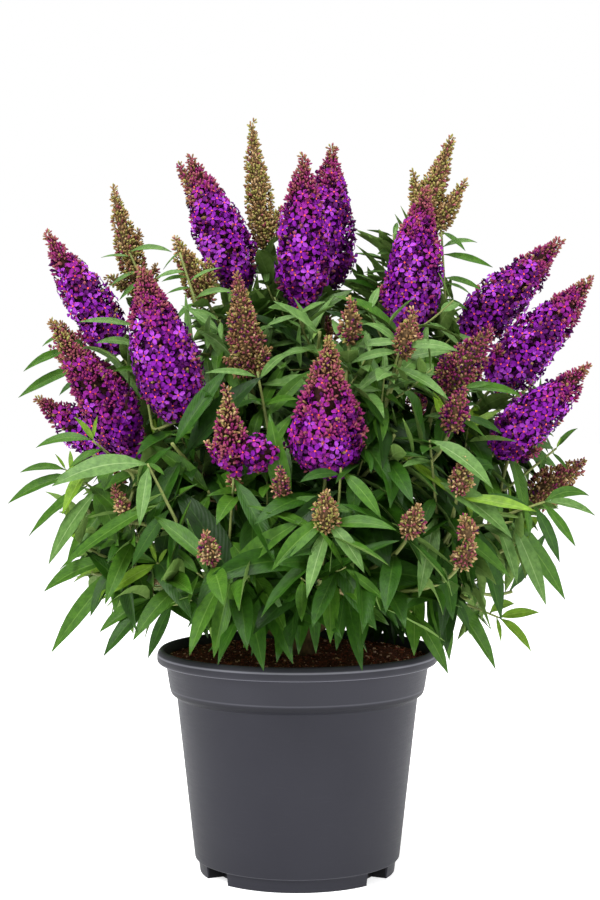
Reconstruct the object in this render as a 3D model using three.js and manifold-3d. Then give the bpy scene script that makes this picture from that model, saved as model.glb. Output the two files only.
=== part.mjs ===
// Butterfly bush in its nursery pot. Sizes are in millimetres and angles in degrees, +Z is up.
// The origin is the centre of the pot's underside, where the pot stands.
//
// The plant is a short woody stump on the compost, one bough for each mass of the crown, and the masses:
// each mass is one stem that forks into shoots, with opposite pairs of lance-shaped leaves along them,
// and a flower spike, a spike of buds, a small tuft of buds or young leaves at each tip.
import * as THREE from "three";
import { mergeVertices } from "three/addons/utils/BufferGeometryUtils.js";
import Module from "manifold-3d";

const wasm = await Module();
wasm.setup();

// ---- Driving dimensions ----

const FIT = 0.3; // clearance between two pieces that touch
const ROUND = 32; // flats round the pot
const MERGED = 0.08; // corners of a fused mass this close become one

const POT = {
  height: 183,
  rimRadius: 115, // outside of the lip
  lipInner: 109.4,
  lipUnder: 171.6, // height of the lip's lower edge
  bandTop: 107.9, // radius of the band just below the lip
  bandFoot: 104.6, // radius of the band at its lower edge
  bandFootHeight: 150.5,
  wallTop: 98.8,
  wallTopHeight: 143.6,
  wallFoot: 84.3,
  footTop: 10.8, // height of the foot ring
  footRadius: 80,
  skin: 1.8, // thickness of the wall and the floor
};
// Gaps in the foot ring: where they are, how many degrees wide, and the radius of their inner side.
const DRAIN = { turns: [53.7, 126.3, 233.7, 306.3], wide: 20, inner: 67 };

const COMPOST = { edge: 165, crown: 172, flat: 24 }; // height at the wall and in the middle, the top's radius
const STUMP = { height: 76, radius: 11, top: 9, flare: 17, flareHeight: 14, lean: 4, sides: 10 };

const BOUGH = {
  lowest: 0.2, // where the lowest and the highest bough start, as shares of the stump's height
  highest: 0.96,
  offset: 5.5, // how far from the stump's axis
  spread: 0.95, // how far over a bough sets off, as a share of the way to its mass's first tip
  share: 0.4, // the bough's share of the stem that it starts
  baseRadius: 3.2,
  tipRadius: 2.5,
  sides: 5,
  rings: 4,
};
const TWIG = {
  root: 2.6, // radius of a mass's stem where it meets its bough
  side: 1.9, // radius of a shoot where it forks off the stem
  tip: 1.4, // radius of both at their tips
  sides: 3,
  ring: 45, // length between two rings
  lap: 1.7, // how far a spike reaches back over its stem's tip
};
const LEAF = {
  first: 3, // distance of the first pair from the tip of its stem
  step: 22, // distance between two pairs along a stem
  bareMain: 0.08, // share of a mass's stem with no leaves, past its bough's tip
  bareSide: 0.2, // the same for a shoot that forks off it
  young: 60, // length of the leaves next to a tip
  full: 98, // length of the oldest leaves
  grownAfter: 2.4, // pairs from the tip to the first that is full grown
  lengthSway: 0.24, // range of the lengths, as a share
  slim: 0.36, // width over length
  thick: 0.03, // thickness over length, at the midrib
  bend: 0.42, // where the widest part is, from root to tip
  angle: 64, // how far a leaf stands off its stem
  angleSway: 26,
  turnSway: 30, // range of its turn round the stem
  droopHigh: 0.7, // how much its weight draws a leaf down above lightFrom, and then below heavyBelow
  droopLow: 2.3,
  lightFrom: 520,
  heavyBelow: 220,
  droopSway: 0.5,
  roll: 110, // range of its turn about its own midrib
  shares: [1, 0.8, 0.62], // sizes that are tried in turn, until the leaf stays in its space
  turns: [0, 28, -28, 56, -56], // turns round the stem that are tried for each size
  perMass: 97, // step of the leaves' numbers from mass to mass, so that no two are alike
  sunk: [0.5, 0.8, 0.3, 1], // depths of its root past the stem's axis, until it fuses tidily
};
// A spike's sides, and its radius from its foot to its tip, as shares of the widest.
const SPIKE_SHAPES = {
  bloom: { sides: 6, outline: [0.3, 0.9, 1, 0.9, 0.68, 0.4, 0.1] },
  spike: { sides: 5, outline: [0.3, 1, 0.92, 0.7, 0.42, 0.12] },
  tuft: { sides: 5, outline: [0.3, 1, 0.86, 0.3] },
  leafy: { sides: 3, outline: [0.5, 1, 0.2] },
};
const YOUNG_TIP = { length: 9, radii: [1.5, 3, 0.6] }; // the bud of young leaves on a shoot with no flowers
// What a leaf keeps clear of, the height that it stays above, and the steps of the points it is tested at.
const SPACE = { wall: 1, limb: 2, rim: 4, blade: 3, lowest: 170, step: 6, limbStep: 4 };
const BACK = { widest: 80, turn: 8, sway: 12, out: 0.97 }; // how the masses at the back mirror the front ones
const SEED = 7;

// One row for each shoot: what is at its tip, the turn round the pot's axis (0 in front, 90 on the right),
// the tip's distance out from the axis and height, the tip's lean outwards, the spike's length and radius.
// A mass with behind has a second one of the same kind at the back of the crown.
const MASSES = {
  low_front: {
    behind: true,
    shoots: [
      ["tuft", 6, 201, 322, 20, 30, 11],
      ["tuft", -19, 203, 292, 28, 25, 10],
      ["tuft", 37, 214, 284, 40, 24, 11],
      ["tuft", 25, 209, 311, 38, 27, 10],
      ["leafy", -33, 182, 256, 66],
      ["leafy", 22, 164, 236, 70],
      ["leafy", -10, 156, 232, 72],
    ],
  },
  low_left: {
    behind: true,
    shoots: [
      ["leafy", -64, 190, 276, 62],
      ["tuft", -44, 196, 323, 27, 25, 10],
      ["leafy", -88, 184, 250, 68],
      ["leafy", -47, 164, 230, 74],
      ["leafy", -80, 196, 322, 56],
    ],
  },
  low_right: {
    behind: true,
    shoots: [
      ["leafy", 66, 186, 274, 62],
      ["spike", 88, 233, 335, 54, 56, 12],
      ["tuft", 40, 196, 347, 18, 31, 11],
      ["leafy", 97, 180, 226, 74],
      ["leafy", 52, 172, 236, 70],
      ["leafy", 80, 196, 300, 58],
    ],
  },
  front: {
    behind: true,
    shoots: [
      ["bloom", 8, 167, 432, 10, 100, 29],
      ["bloom", -19, 160, 398, 12, 64, 18],
      ["spike", 34, 157, 455, 24, 38, 12],
      ["spike", 46, 174, 396, 22, 34, 13],
      ["tuft", -4, 172, 338, 26, 25, 9],
      ["spike", 21, 116, 464, 8, 34, 10],
      ["leafy", 27, 160, 362, 44],
      ["leafy", 2, 132, 300, 50],
    ],
  },
  front_left: {
    behind: true,
    shoots: [
      ["bloom", -47, 161, 486, 18, 116, 27],
      ["bloom", -67, 207, 447, 34, 122, 23],
      ["leafy", -36, 172, 366, 46],
      ["leafy", -58, 186, 346, 52],
      ["leafy", -30, 134, 318, 48],
    ],
  },
  left: {
    shoots: [
      ["bloom", -93, 206, 522, 32, 112, 21],
      ["bloom", -87, 211, 386, 56, 84, 20],
      ["spike", -112, 168, 564, 15, 96, 11],
      ["leafy", -84, 206, 340, 58],
      ["leafy", -76, 190, 420, 44],
    ],
  },
  right: {
    shoots: [
      ["bloom", 86, 238, 483, 42, 116, 23],
      ["bloom", 74, 237, 414, 47, 98, 21],
      ["bloom", 99, 220, 520, 45, 110, 21],
      ["spike", 62, 170, 441, 40, 60, 18],
      ["leafy", 104, 206, 400, 50],
      ["leafy", 80, 192, 350, 56],
    ],
  },
  top_left: {
    shoots: [
      ["bloom", -109, 94, 586, 23, 116, 24],
      ["spike", -27, 101, 483, 14, 80, 15],
      ["spike", -79, 100, 516, 27, 58, 12],
      ["leafy", -150, 130, 470, 36],
      ["leafy", -52, 116, 436, 34],
    ],
  },
  top_right: {
    shoots: [
      ["bloom", 79, 105, 555, 8, 116, 25],
      ["spike", 111, 139, 605, 22, 100, 12],
      ["leafy", 52, 128, 470, 34],
      ["spike", 108, 148, 568, 34, 52, 9],
      ["leafy", 92, 150, 474, 40],
      ["leafy", 140, 130, 480, 36],
    ],
  },
  top: {
    shoots: [
      ["bloom", 150, 58, 596, 6, 118, 24],
      ["bloom", 8, 38, 580, 5, 118, 23],
      ["spike", -147, 71, 619, 10, 108, 11],
      ["leafy", 12, 84, 440, 24],
      ["leafy", 190, 110, 480, 34],
    ],
  },
};

const COLOURS = {
  pot: { color: 0x4b4b50, roughness: 0.45, metalness: 0 },
  compost: { color: 0x2b1a14, roughness: 0.95, metalness: 0 },
  bark: { color: 0x7d6a4a, roughness: 0.85, metalness: 0 },
  foliage: { color: 0x3f6d36, roughness: 0.6, metalness: 0 },
};

// ---- Solids, joins and cuts ----

const radians = THREE.MathUtils.degToRad;
const lerp = THREE.MathUtils.lerp;
const UP = new THREE.Vector3(0, 0, 1);

/** A closed three.js geometry as a solid, facing outwards. */
function solid(geometry) {
  const bare = geometry.clone();
  bare.deleteAttribute("normal");
  bare.deleteAttribute("uv");
  const merged = mergeVertices(bare, 1e-3);
  const triVerts = new Uint32Array(merged.index.array);
  const vertProperties = merged.attributes.position.array;
  return new wasm.Manifold(new wasm.Mesh({ numProp: 3, vertProperties, triVerts }));
}

/** A solid as a three.js geometry. */
function geometryOf(body) {
  const { vertProperties, triVerts, numProp, numVert } = body.getMesh();
  const position = new Float32Array(numVert * 3);
  for (let i = 0; i < numVert; i++) {
    position.set(vertProperties.subarray(i * numProp, i * numProp + 3), i * 3);
  }
  const geometry = new THREE.BufferGeometry();
  geometry.setAttribute("position", new THREE.BufferAttribute(position, 3));
  geometry.setIndex(new THREE.BufferAttribute(triVerts, 1));
  return geometry;
}

/** True if a solid stays one body, each edge between just two faces, once its near corners are merged. */
function isTidy(body) {
  const merged = solid(geometryOf(body));
  const { vertProperties, triVerts } = merged.getMesh();
  const place = (corner) => Array.from(vertProperties.slice(corner * 3, corner * 3 + 3), (v) => v.toFixed(4));
  const places = Array.from(triVerts, (corner) => place(corner).join());
  const edges = places.map((from, i) => from + " " + places[i % 3 === 2 ? i - 2 : i + 1]);
  const real = edges.filter((edge, i) => {
    const face = places.slice(i - (i % 3), i - (i % 3) + 3);
    return new Set(face).size === 3;
  });
  return new Set(real).size === real.length && merged.decompose().length === 1;
}

/** Solids fused into one body: a hollow that fusing seals is filled, and a loose scrap is dropped. */
function fused(pieces) {
  const bodies = wasm.Manifold.union(pieces).asOriginal().simplify(MERGED).decompose();
  return bodies.reduce((one, other) => (other.volume() > one.volume() ? other : one));
}

/** The solid of corners and triangles that are written by a loop. */
function solidOfFaces(corners, faces) {
  const geometry = new THREE.BufferGeometry().setFromPoints(corners);
  geometry.setIndex(faces.flat());
  return solid(geometry);
}

/** A profile of [radius, height] pairs turned round the pot's axis. */
function turned(profile) {
  const points = profile.map(([radius, height]) => new THREE.Vector2(radius, height));
  return solid(new THREE.LatheGeometry(points, ROUND).rotateX(Math.PI / 2));
}

/** The direction out from the axis at a turn, 0 facing the front. */
function outwards(turn) {
  return new THREE.Vector3(Math.sin(radians(turn)), -Math.cos(radians(turn)), 0);
}

/** A steady number from -0.5 to 0.5 for each count and purpose: the fractional part of golden steps. */
function sway(count, purpose) {
  const golden = 0.6180339887;
  const step = (count + 1) * golden + (purpose + 1) * 0.3819 + SEED * 0.137;
  return step - Math.floor(step) - 0.5;
}

/** A tapering limb of flat sides round a curve, from share `from` to share `to` of its length. */
function limb(curve, from, to, sides, rings, radiusAt) {
  const corners = [curve.getPointAt(from)];
  const faces = [];
  const side = new THREE.Vector3(0, 1, 0).cross(curve.getTangentAt(from)).normalize();
  if (side.lengthSq() < 0.5) side.set(1, 0, 0);
  for (let ring = 0; ring <= rings; ring++) {
    const share = lerp(from, to, ring / rings);
    const along = curve.getTangentAt(share);
    const centre = curve.getPointAt(share);
    side.addScaledVector(along, -side.dot(along)).normalize();
    const across = along.clone().cross(side);
    for (let i = 0; i < sides; i++) {
      const angle = (2 * Math.PI * i) / sides;
      const radius = radiusAt(ring / rings, angle);
      const corner = centre.clone().addScaledVector(side, radius * Math.cos(angle));
      corners.push(corner.addScaledVector(across, radius * Math.sin(angle)));
    }
  }
  corners.push(curve.getPointAt(to));
  const last = corners.length - 1;
  for (let i = 0; i < sides; i++) {
    const next = (i + 1) % sides;
    faces.push([0, 1 + next, 1 + i]);
    faces.push([last, last - sides + i, last - sides + next]);
    for (let ring = 0; ring < rings; ring++) {
      const low = 1 + ring * sides;
      const high = low + sides;
      faces.push([low + i, low + next, high + next], [low + i, high + next, high + i]);
    }
  }
  return solidOfFaces(corners, faces);
}

// ---- Pot, compost and stump ----

/** A block over one gap in the foot ring, grown by `more` on its sides and top. */
function drainBlock(turn, more) {
  const start = radians(turn - 90 - DRAIN.wide / 2) - more / DRAIN.inner;
  const end = radians(turn - 90 + DRAIN.wide / 2) + more / DRAIN.inner;
  const outer = POT.wallFoot + 12;
  const plan = new THREE.Shape();
  plan.absarc(0, 0, outer, start, end, false);
  plan.absarc(0, 0, DRAIN.inner - more, end, start, true);
  const options = { depth: POT.footTop + more + 1, bevelEnabled: false, curveSegments: 2 };
  return solid(new THREE.ExtrudeGeometry(plan, options).translate(0, 0, -1));
}

/** The outside of the pot: foot ring, wall, step out to the band, and the rolled lip. */
function potProfile() {
  const lipMiddle = (POT.lipUnder + POT.height) / 2;
  return [
    [0, 0],
    [POT.footRadius, 0],
    [POT.footRadius + 1.4, POT.footTop],
    [POT.wallFoot, POT.footTop + 0.5],
    [POT.wallTop, POT.wallTopHeight],
    [POT.bandFoot - 1.6, POT.bandFootHeight - 3.6],
    [POT.bandFoot, POT.bandFootHeight],
    [POT.bandTop, POT.lipUnder],
    [POT.rimRadius - 1.8, POT.lipUnder + 0.8],
    [POT.rimRadius, lipMiddle - 1.2],
    [POT.rimRadius - 0.6, lipMiddle + 2.6],
    [POT.rimRadius - 3, POT.height],
    [0, POT.height],
  ];
}

/** The pot's hollow, taken in by `less` all round; the compost is the same hollow, filled to its level. */
function hollowProfile(less, top) {
  const wall = POT.skin + less;
  return [
    [0, wall],
    [POT.footRadius - wall, wall],
    [POT.footRadius - wall + 1, POT.footTop + less],
    [POT.wallFoot - wall, POT.footTop + 4 + less],
    [POT.wallTop - wall, POT.wallTopHeight + 1],
    [POT.bandFoot - wall, POT.bandFootHeight + 0.8],
    ...top,
  ];
}

/** Cuts the four drain steps out of a filling of the pot. */
function clearOfDrains(filling, more) {
  return DRAIN.turns.reduce((body, turn) => body.subtract(drainBlock(turn, more)), filling);
}

function makePot() {
  const above = POT.height + 5;
  const mouth = [
    [POT.lipInner - 1.2, POT.lipUnder + 2],
    [POT.lipInner, POT.height - 1],
    [POT.lipInner, above],
    [0, above],
  ];
  const hollow = clearOfDrains(turned(hollowProfile(0, mouth)), POT.skin);
  return clearOfDrains(turned(potProfile()), 0).subtract(hollow);
}

function makeCompost() {
  const edge = lerp(POT.bandFoot, POT.bandTop, 0.65) - POT.skin - FIT - 0.3;
  const top = [
    [edge, COMPOST.edge],
    [edge * 0.62, COMPOST.crown - 1.4],
    [COMPOST.flat, COMPOST.crown],
    [0, COMPOST.crown],
  ];
  return clearOfDrains(turned(hollowProfile(FIT, top)), POT.skin + FIT);
}

const stumpFoot = COMPOST.crown + FIT;
const stumpAxis = new THREE.LineCurve3(
  new THREE.Vector3(0, 0, stumpFoot - 3),
  new THREE.Vector3(STUMP.lean, -STUMP.lean / 2, stumpFoot + STUMP.height),
);

/** The stump: a flat cut at the compost, a lobed root flare and a stem, all grown by `more` for the cuts. */
function makeStump(more) {
  const radiusAt = (share, angle) => {
    const flare = Math.exp((-share * STUMP.height) / STUMP.flareHeight);
    const lobes = 1 + 0.22 * flare * Math.cos(3 * angle + 0.6);
    const stem = lerp(STUMP.radius, STUMP.top, share);
    return (stem + (STUMP.flare - STUMP.radius) * flare) * lobes + more;
  };
  return limb(stumpAxis, 0, 1, STUMP.sides, 9, radiusAt).trimByPlane([0, 0, 1], stumpFoot);
}

// ---- Shoots ----

/** The direction of a shoot's tip, from its turn and its lean. */
function heading(turn, lean) {
  return outwards(turn).multiplyScalar(Math.sin(radians(lean))).addScaledVector(UP, Math.cos(radians(lean)));
}

/** A smooth curve from one point and direction to another, its handles a share of the distance. */
function sweep(start, leaving, end, arriving, grip = 0.36) {
  const reach = start.distanceTo(end) * grip;
  const first = start.clone().addScaledVector(leaving, reach);
  const second = end.clone().addScaledVector(arriving, -reach);
  return new THREE.CubicBezierCurve3(start, first, second, end);
}

/** Every mass by name, the ones behind among them, with its shoots' tips, axes and curves. */
function growMasses() {
  const masses = [];
  for (const [name, mass] of Object.entries(MASSES)) {
    masses.push({ name, rows: mass.shoots });
    if (!mass.behind) continue;
    const twins = mass.shoots.filter(([, turn]) => Math.abs(turn) < BACK.widest);
    const rows = twins.map(([kind, turn, out, up, ...rest], i) => [
      kind,
      180 - turn + BACK.turn + BACK.sway * sway(i, 1),
      out * BACK.out,
      up + BACK.sway * sway(i, 3),
      ...rest,
    ]);
    masses.push({ name: "back_" + name, rows });
  }
  const slant = ({ rows: [[, , out, up]] }) => out / (up - COMPOST.crown);
  masses.sort((one, other) => slant(other) - slant(one));
  return masses.map((mass, index) => growShoots(mass, index, index / (masses.length - 1)));
}

/** Works out one mass: the stem from the stump to the first shoot's tip, and the shoots that fork off it. */
function growShoots({ name, rows }, index, rank) {
  const [, turn, out, up] = rows[0];
  const start = stumpAxis.getPoint(lerp(BOUGH.lowest, BOUGH.highest, rank));
  start.addScaledVector(outwards(turn), BOUGH.offset);
  const slant = Math.atan2(out, up - start.z);
  const leaving = heading(turn, THREE.MathUtils.radToDeg(slant) * BOUGH.spread);
  const shoots = [];
  rows.forEach(([kind, tipTurn, out, up, tipLean, length = 0, radius = 0], i) => {
    const tip = outwards(tipTurn).multiplyScalar(out).addScaledVector(UP, up);
    const axis = heading(tipTurn, tipLean);
    const foot = tip.clone().addScaledVector(axis, -length);
    const main = shoots[0];
    const fork = i === 0 ? 0 : lerp(BOUGH.share + 0.05, 0.9, (i - 1) / rows.length);
    const from = i === 0 ? start : main.curve.getPointAt(fork);
    const towards = foot.clone().sub(from).normalize();
    const first = i === 0 ? leaving : main.curve.getTangentAt(fork).lerp(towards, 0.55).normalize();
    const curve = sweep(from, first, foot, axis);
    shoots.push({ kind, tip, foot, axis, length, radius, curve, turn: tipTurn, main: i === 0 });
  });
  return { name, index, shoots };
}

const masses = growMasses();

/** Points every few millimetres along all of a mass's stems and spikes, with the radius there. */
function skeletonOf({ shoots }) {
  const points = [];
  for (const { kind, curve, main, foot, tip, length, radius } of shoots) {
    const from = main ? BOUGH.share : 0;
    const steps = Math.ceil((curve.getLength() * (1 - from)) / SPACE.step);
    for (let i = 0; i <= steps; i++) {
      points.push({ point: curve.getPointAt(lerp(from, 1, i / steps)), radius: TWIG.root });
    }
    const outline = SPIKE_SHAPES[kind].outline;
    const more = Math.ceil(length / SPACE.step);
    for (let i = 1; i <= more; i++) {
      const share = outline[Math.round((i / more) * (outline.length - 1))];
      points.push({ point: foot.clone().lerp(tip, i / more), radius: radius * share });
    }
  }
  return points;
}

for (const mass of masses) {
  mass.skeleton = skeletonOf(mass);
  mass.spikes = mass.skeleton.filter(({ radius }) => radius > TWIG.root);
  mass.blades = []; // points on the leaves that it has so far
}

/** Points along the boughs and the stump, with the radius there. */
const limbPoints = masses.flatMap(({ shoots }) => {
  const steps = Math.ceil((shoots[0].curve.getLength() * BOUGH.share) / SPACE.limbStep);
  return Array.from({ length: steps + 1 }, (_, i) => ({
    point: shoots[0].curve.getPointAt((BOUGH.share * i) / steps),
    radius: lerp(BOUGH.baseRadius, BOUGH.tipRadius, i / steps),
  }));
});
for (let share = 0; share <= 1; share += 0.1) {
  limbPoints.push({ point: stumpAxis.getPoint(share), radius: STUMP.radius });
}

/** The clearance from a point to the nearest of some round things. */
function clearance(things, point) {
  return things.reduce((least, one) => Math.min(least, one.point.distanceTo(point) - one.radius), Infinity);
}

/** True if a point is in the mass's own space: nearest to its own stems, and clear of limbs and pot. */
function inSpace(mass, point) {
  const out = Math.hypot(point.x, point.y);
  const overPot = out < POT.rimRadius + SPACE.rim;
  if (point.z < (overPot ? POT.height + SPACE.rim : SPACE.lowest)) return false;
  if (clearance(limbPoints, point) < SPACE.limb) return false;
  if (clearance(mass.blades, point) < SPACE.blade || clearance(mass.spikes, point) < 0) return false;
  const own = clearance(mass.skeleton, point);
  return masses.every((other) => other === mass || clearance(other.skeleton, point) > own + SPACE.wall);
}

// ---- Leaves and spikes ----

/** Where a leaf's midrib runs: it sets off along `leaving` and is drawn down more and more by its weight. */
function midrib(root, leaving, length, droop) {
  const steps = 8;
  const points = [root.clone()];
  const along = leaving.clone();
  for (let i = 0; i < steps; i++) {
    along.copy(leaving).addScaledVector(UP, (-droop * (i + 0.5)) / steps).normalize();
    points.push(points[i].clone().addScaledVector(along, length / steps));
  }
  return new THREE.CatmullRomCurve3(points);
}

/** A lance-shaped leaf of six faces: its root and point, its two edges, and the keel of its midrib. */
function leafFaces(root, leaving, length, droop, roll) {
  const rib = midrib(root, leaving, length, droop);
  const middle = rib.getPoint(LEAF.bend);
  const along = rib.getTangent(LEAF.bend);
  const top = UP.clone().addScaledVector(along, -UP.dot(along)).normalize().applyAxisAngle(along, roll);
  const side = along.clone().cross(top);
  const half = (length * LEAF.slim) / 2;
  const left = middle.clone().addScaledVector(side, half);
  const right = middle.clone().addScaledVector(side, -half);
  const keel = middle.clone().addScaledVector(top, -length * LEAF.thick);
  const corners = [root, left, right, keel, rib.getPoint(1)];
  const faces = [];
  for (const [a, b] of [[1, 2], [2, 3], [3, 1]]) faces.push([0, a, b], [4, b, a]);
  return { leaving, corners, faces };
}

/** Points all over a leaf, in rows across it, that show whether it stays in its space. */
function leafProbes([root, left, right, , tip]) {
  const probes = [tip];
  for (const share of [0.3, 0.45, 0.6, 0.75, 0.9, 1]) {
    for (const end of [root, tip]) {
      for (const across of [0, 0.25, 0.5, 0.75, 1]) {
        probes.push(end.clone().lerp(left.clone().lerp(right, across), share));
      }
    }
  }
  return probes;
}

/** How much the leaves at a height are drawn down: the lower they are, the heavier they hang. */
function droopAt(height) {
  const low = THREE.MathUtils.clamp((LEAF.lightFrom - height) / (LEAF.lightFrom - LEAF.heavyBelow), 0, 1);
  return lerp(LEAF.droopHigh, LEAF.droopLow, low);
}

/** One leaf at a point of a stem, at the first size and turn that keep it in its space, or null. */
function leafAt(mass, root, along, across, turn, full, number) {
  const other = along.clone().cross(across);
  const open = radians(LEAF.angle + LEAF.angleSway * sway(number, 5));
  const droop = droopAt(root.z) * (1 + LEAF.droopSway * sway(number, 6));
  const length = full * (1 + LEAF.lengthSway * sway(number, 7));
  const roll = radians(LEAF.roll * sway(number, 8));
  for (const size of LEAF.shares) {
    for (const more of LEAF.turns) {
      const angle = radians(turn + LEAF.turnSway * sway(number, 4) + more);
      const away = across.clone().multiplyScalar(Math.cos(angle)).addScaledVector(other, Math.sin(angle));
      const leaving = along.clone().multiplyScalar(Math.cos(open)).addScaledVector(away, Math.sin(open));
      const leaf = leafFaces(root, leaving, length * size, droop, roll);
      const probes = leafProbes(leaf.corners);
      if (!probes.every((probe) => inSpace(mass, probe))) continue;
      for (const probe of probes) mass.blades.push({ point: probe, radius: 0 });
      return leaf;
    }
  }
  return null;
}

/** The leaves of one shoot, in opposite pairs, each pair turned by a quarter from the last. */
function leavesOf(mass, { curve, main, turn }, count) {
  const leaves = [];
  const from = main ? BOUGH.share + LEAF.bareMain : LEAF.bareSide;
  const stem = curve.getLength();
  for (let pair = 0; ; pair++) {
    const share = 1 - (pair * LEAF.step + LEAF.first) / stem;
    if (share < from) return leaves;
    const full = lerp(LEAF.young, LEAF.full, Math.min(1, (pair + 0.8) / LEAF.grownAfter));
    const along = curve.getTangentAt(share);
    const across = outwards(turn + 90).cross(along).normalize();
    for (const side of [0, 180]) {
      const number = count + 2 * pair + side / 180;
      const around = 45 + 90 * (pair % 2) + side;
      const leaf = leafAt(mass, curve.getPointAt(share), along, across, around, full, number);
      if (leaf) leaves.push(leaf);
    }
  }
}

/** A flower spike, widest low down and narrowing to its tip, with a slightly uneven outline. */
function spikeSolid({ kind, foot, tip, axis, radius }) {
  const { sides, outline } = SPIKE_SHAPES[kind];
  const rings = outline.length - 1;
  const uneven = (share, angle) => 1 + 0.07 * Math.cos(3 * angle + 9 * share);
  const radiusAt = (share, angle) => radius * outline[Math.round(share * rings)] * uneven(share, angle);
  const start = foot.clone().addScaledVector(axis, -TWIG.lap);
  return limb(new THREE.LineCurve3(start, tip), 0, 1, sides, rings, radiusAt);
}

/** A short bud of young leaves at the tip of a shoot that has no flowers. */
function youngTip({ tip, axis }) {
  const start = tip.clone().addScaledVector(axis, -TWIG.lap);
  const end = tip.clone().addScaledVector(axis, YOUNG_TIP.length);
  const radiusAt = (share) => YOUNG_TIP.radii[Math.round(share * 2)];
  return limb(new THREE.LineCurve3(start, end), 0, 1, TWIG.sides, 2, radiusAt);
}

/** A shoot's stem, which starts just past the bough's tip or inside the stem that it forks off. */
function stemSolid({ curve, main }) {
  const from = main ? BOUGH.share + FIT / curve.getLength() : 0;
  const root = main ? TWIG.root : TWIG.side;
  const rings = Math.max(2, Math.round((curve.getLength() * (1 - from)) / TWIG.ring));
  return limb(curve, from, 1, TWIG.sides, rings, (share) => lerp(root, TWIG.tip, share));
}

/** A mass as one body: its stems and spikes, and each leaf at the first root depth that fuses tidily. */
function makeMass(mass) {
  const stems = [];
  const leaves = [];
  for (const shoot of mass.shoots) {
    stems.push(stemSolid(shoot), shoot.kind === "leafy" ? youngTip(shoot) : spikeSolid(shoot));
    leaves.push(...leavesOf(mass, shoot, leaves.length + mass.index * LEAF.perMass));
  }
  let body = fused(stems);
  for (const { leaving, corners, faces } of leaves) {
    for (const depth of LEAF.sunk) {
      const root = corners[0].clone().addScaledVector(leaving, -depth);
      const joined = fused([body, solidOfFaces([root, ...corners.slice(1)], faces)]);
      if (!isTidy(joined)) continue;
      body = joined;
      break;
    }
  }
  return body;
}

function makeBough(mass, grownStump) {
  const { curve } = mass.shoots[0];
  const radiusAt = (share) => lerp(BOUGH.baseRadius, BOUGH.tipRadius, share);
  return limb(curve, 0, BOUGH.share, BOUGH.sides, BOUGH.rings, radiusAt).subtract(grownStump);
}

// ---- Assembly ----

const bush = new THREE.Group();

function addNode(name, body, look) {
  const mesh = new THREE.Mesh(geometryOf(body), new THREE.MeshStandardMaterial(COLOURS[look]));
  mesh.name = name;
  bush.add(mesh);
}

addNode("pot", makePot(), "pot");
addNode("compost", makeCompost(), "compost");
addNode("stump", makeStump(0), "bark");
const grownStump = makeStump(FIT);
for (const mass of masses) {
  addNode("bough_" + mass.name, makeBough(mass, grownStump), "bark");
  addNode("crown_" + mass.name, makeMass(mass), "foliage");
}

export default bush;
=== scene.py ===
# %% [markdown]
# # A butterfly bush in its nursery pot
#
# A butterfly bush carries its flowers in long spikes at the tips of its shoots, over long grey-green
# leaves that stand in opposite pairs. This lesson dresses a plain model of such a plant: a fine pot,
# crumbly compost, bark, twigs, leaves, open flowers and buds. Everything small is worked out with numpy
# as whole arrays, so a few formulas make thousands of leaves and flowers.
#
# Sizes are in millimetres until a mesh is made, and +Z is up.

import bpy
import numpy as np
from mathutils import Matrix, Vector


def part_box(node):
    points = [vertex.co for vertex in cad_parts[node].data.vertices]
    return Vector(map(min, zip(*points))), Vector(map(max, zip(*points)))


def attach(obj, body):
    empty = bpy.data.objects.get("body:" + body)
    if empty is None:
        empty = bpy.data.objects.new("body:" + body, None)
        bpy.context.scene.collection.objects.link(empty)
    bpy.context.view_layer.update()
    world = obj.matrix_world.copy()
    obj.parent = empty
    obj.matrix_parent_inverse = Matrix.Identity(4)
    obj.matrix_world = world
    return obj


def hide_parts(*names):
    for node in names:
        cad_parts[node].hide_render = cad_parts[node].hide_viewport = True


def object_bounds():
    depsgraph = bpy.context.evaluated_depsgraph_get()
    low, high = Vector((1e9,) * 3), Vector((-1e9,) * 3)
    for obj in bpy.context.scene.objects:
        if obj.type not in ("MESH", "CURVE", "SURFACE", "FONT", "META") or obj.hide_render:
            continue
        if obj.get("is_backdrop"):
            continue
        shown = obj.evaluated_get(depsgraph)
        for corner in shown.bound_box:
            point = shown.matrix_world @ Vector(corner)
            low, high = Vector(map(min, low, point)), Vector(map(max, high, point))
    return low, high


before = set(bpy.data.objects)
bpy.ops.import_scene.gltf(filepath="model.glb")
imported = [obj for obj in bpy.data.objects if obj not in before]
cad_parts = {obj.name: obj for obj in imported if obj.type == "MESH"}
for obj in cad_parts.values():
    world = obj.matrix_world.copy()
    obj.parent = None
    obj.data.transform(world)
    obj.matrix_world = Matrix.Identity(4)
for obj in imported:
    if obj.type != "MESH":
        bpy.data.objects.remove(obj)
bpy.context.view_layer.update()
CROWNS = sorted(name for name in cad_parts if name.startswith("crown_"))
BOUGHS = sorted(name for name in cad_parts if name.startswith("bough_"))
MM = 0.001
SEED = 7
UP = np.array([0.0, 0.0, 1.0])
ROUND = 6.28  # about a full turn, for turns drawn at random
print(len(CROWNS), "masses of foliage and", len(BOUGHS), "boughs")

# %% [markdown]
# ## The camera, the floor and the light
#
# The plant is seen from a little above its middle, from 1.6 m away and with a long lens, so the pot
# narrows gently towards its foot. It stands on a plain pale floor in soft studio light: a bright room
# all round, a large soft lamp over the camera's left shoulder, a weaker one on the right and one above.


# %% Camera
def pointed(thing, place, aim):
    """Stands a camera or lamp at a place and turns it to look at a point."""
    thing.location = place
    way = Vector(aim) - Vector(place)
    thing.rotation_euler = way.to_track_quat("-Z", "Y").to_euler()
    bpy.context.scene.collection.objects.link(thing)
    return thing


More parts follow.
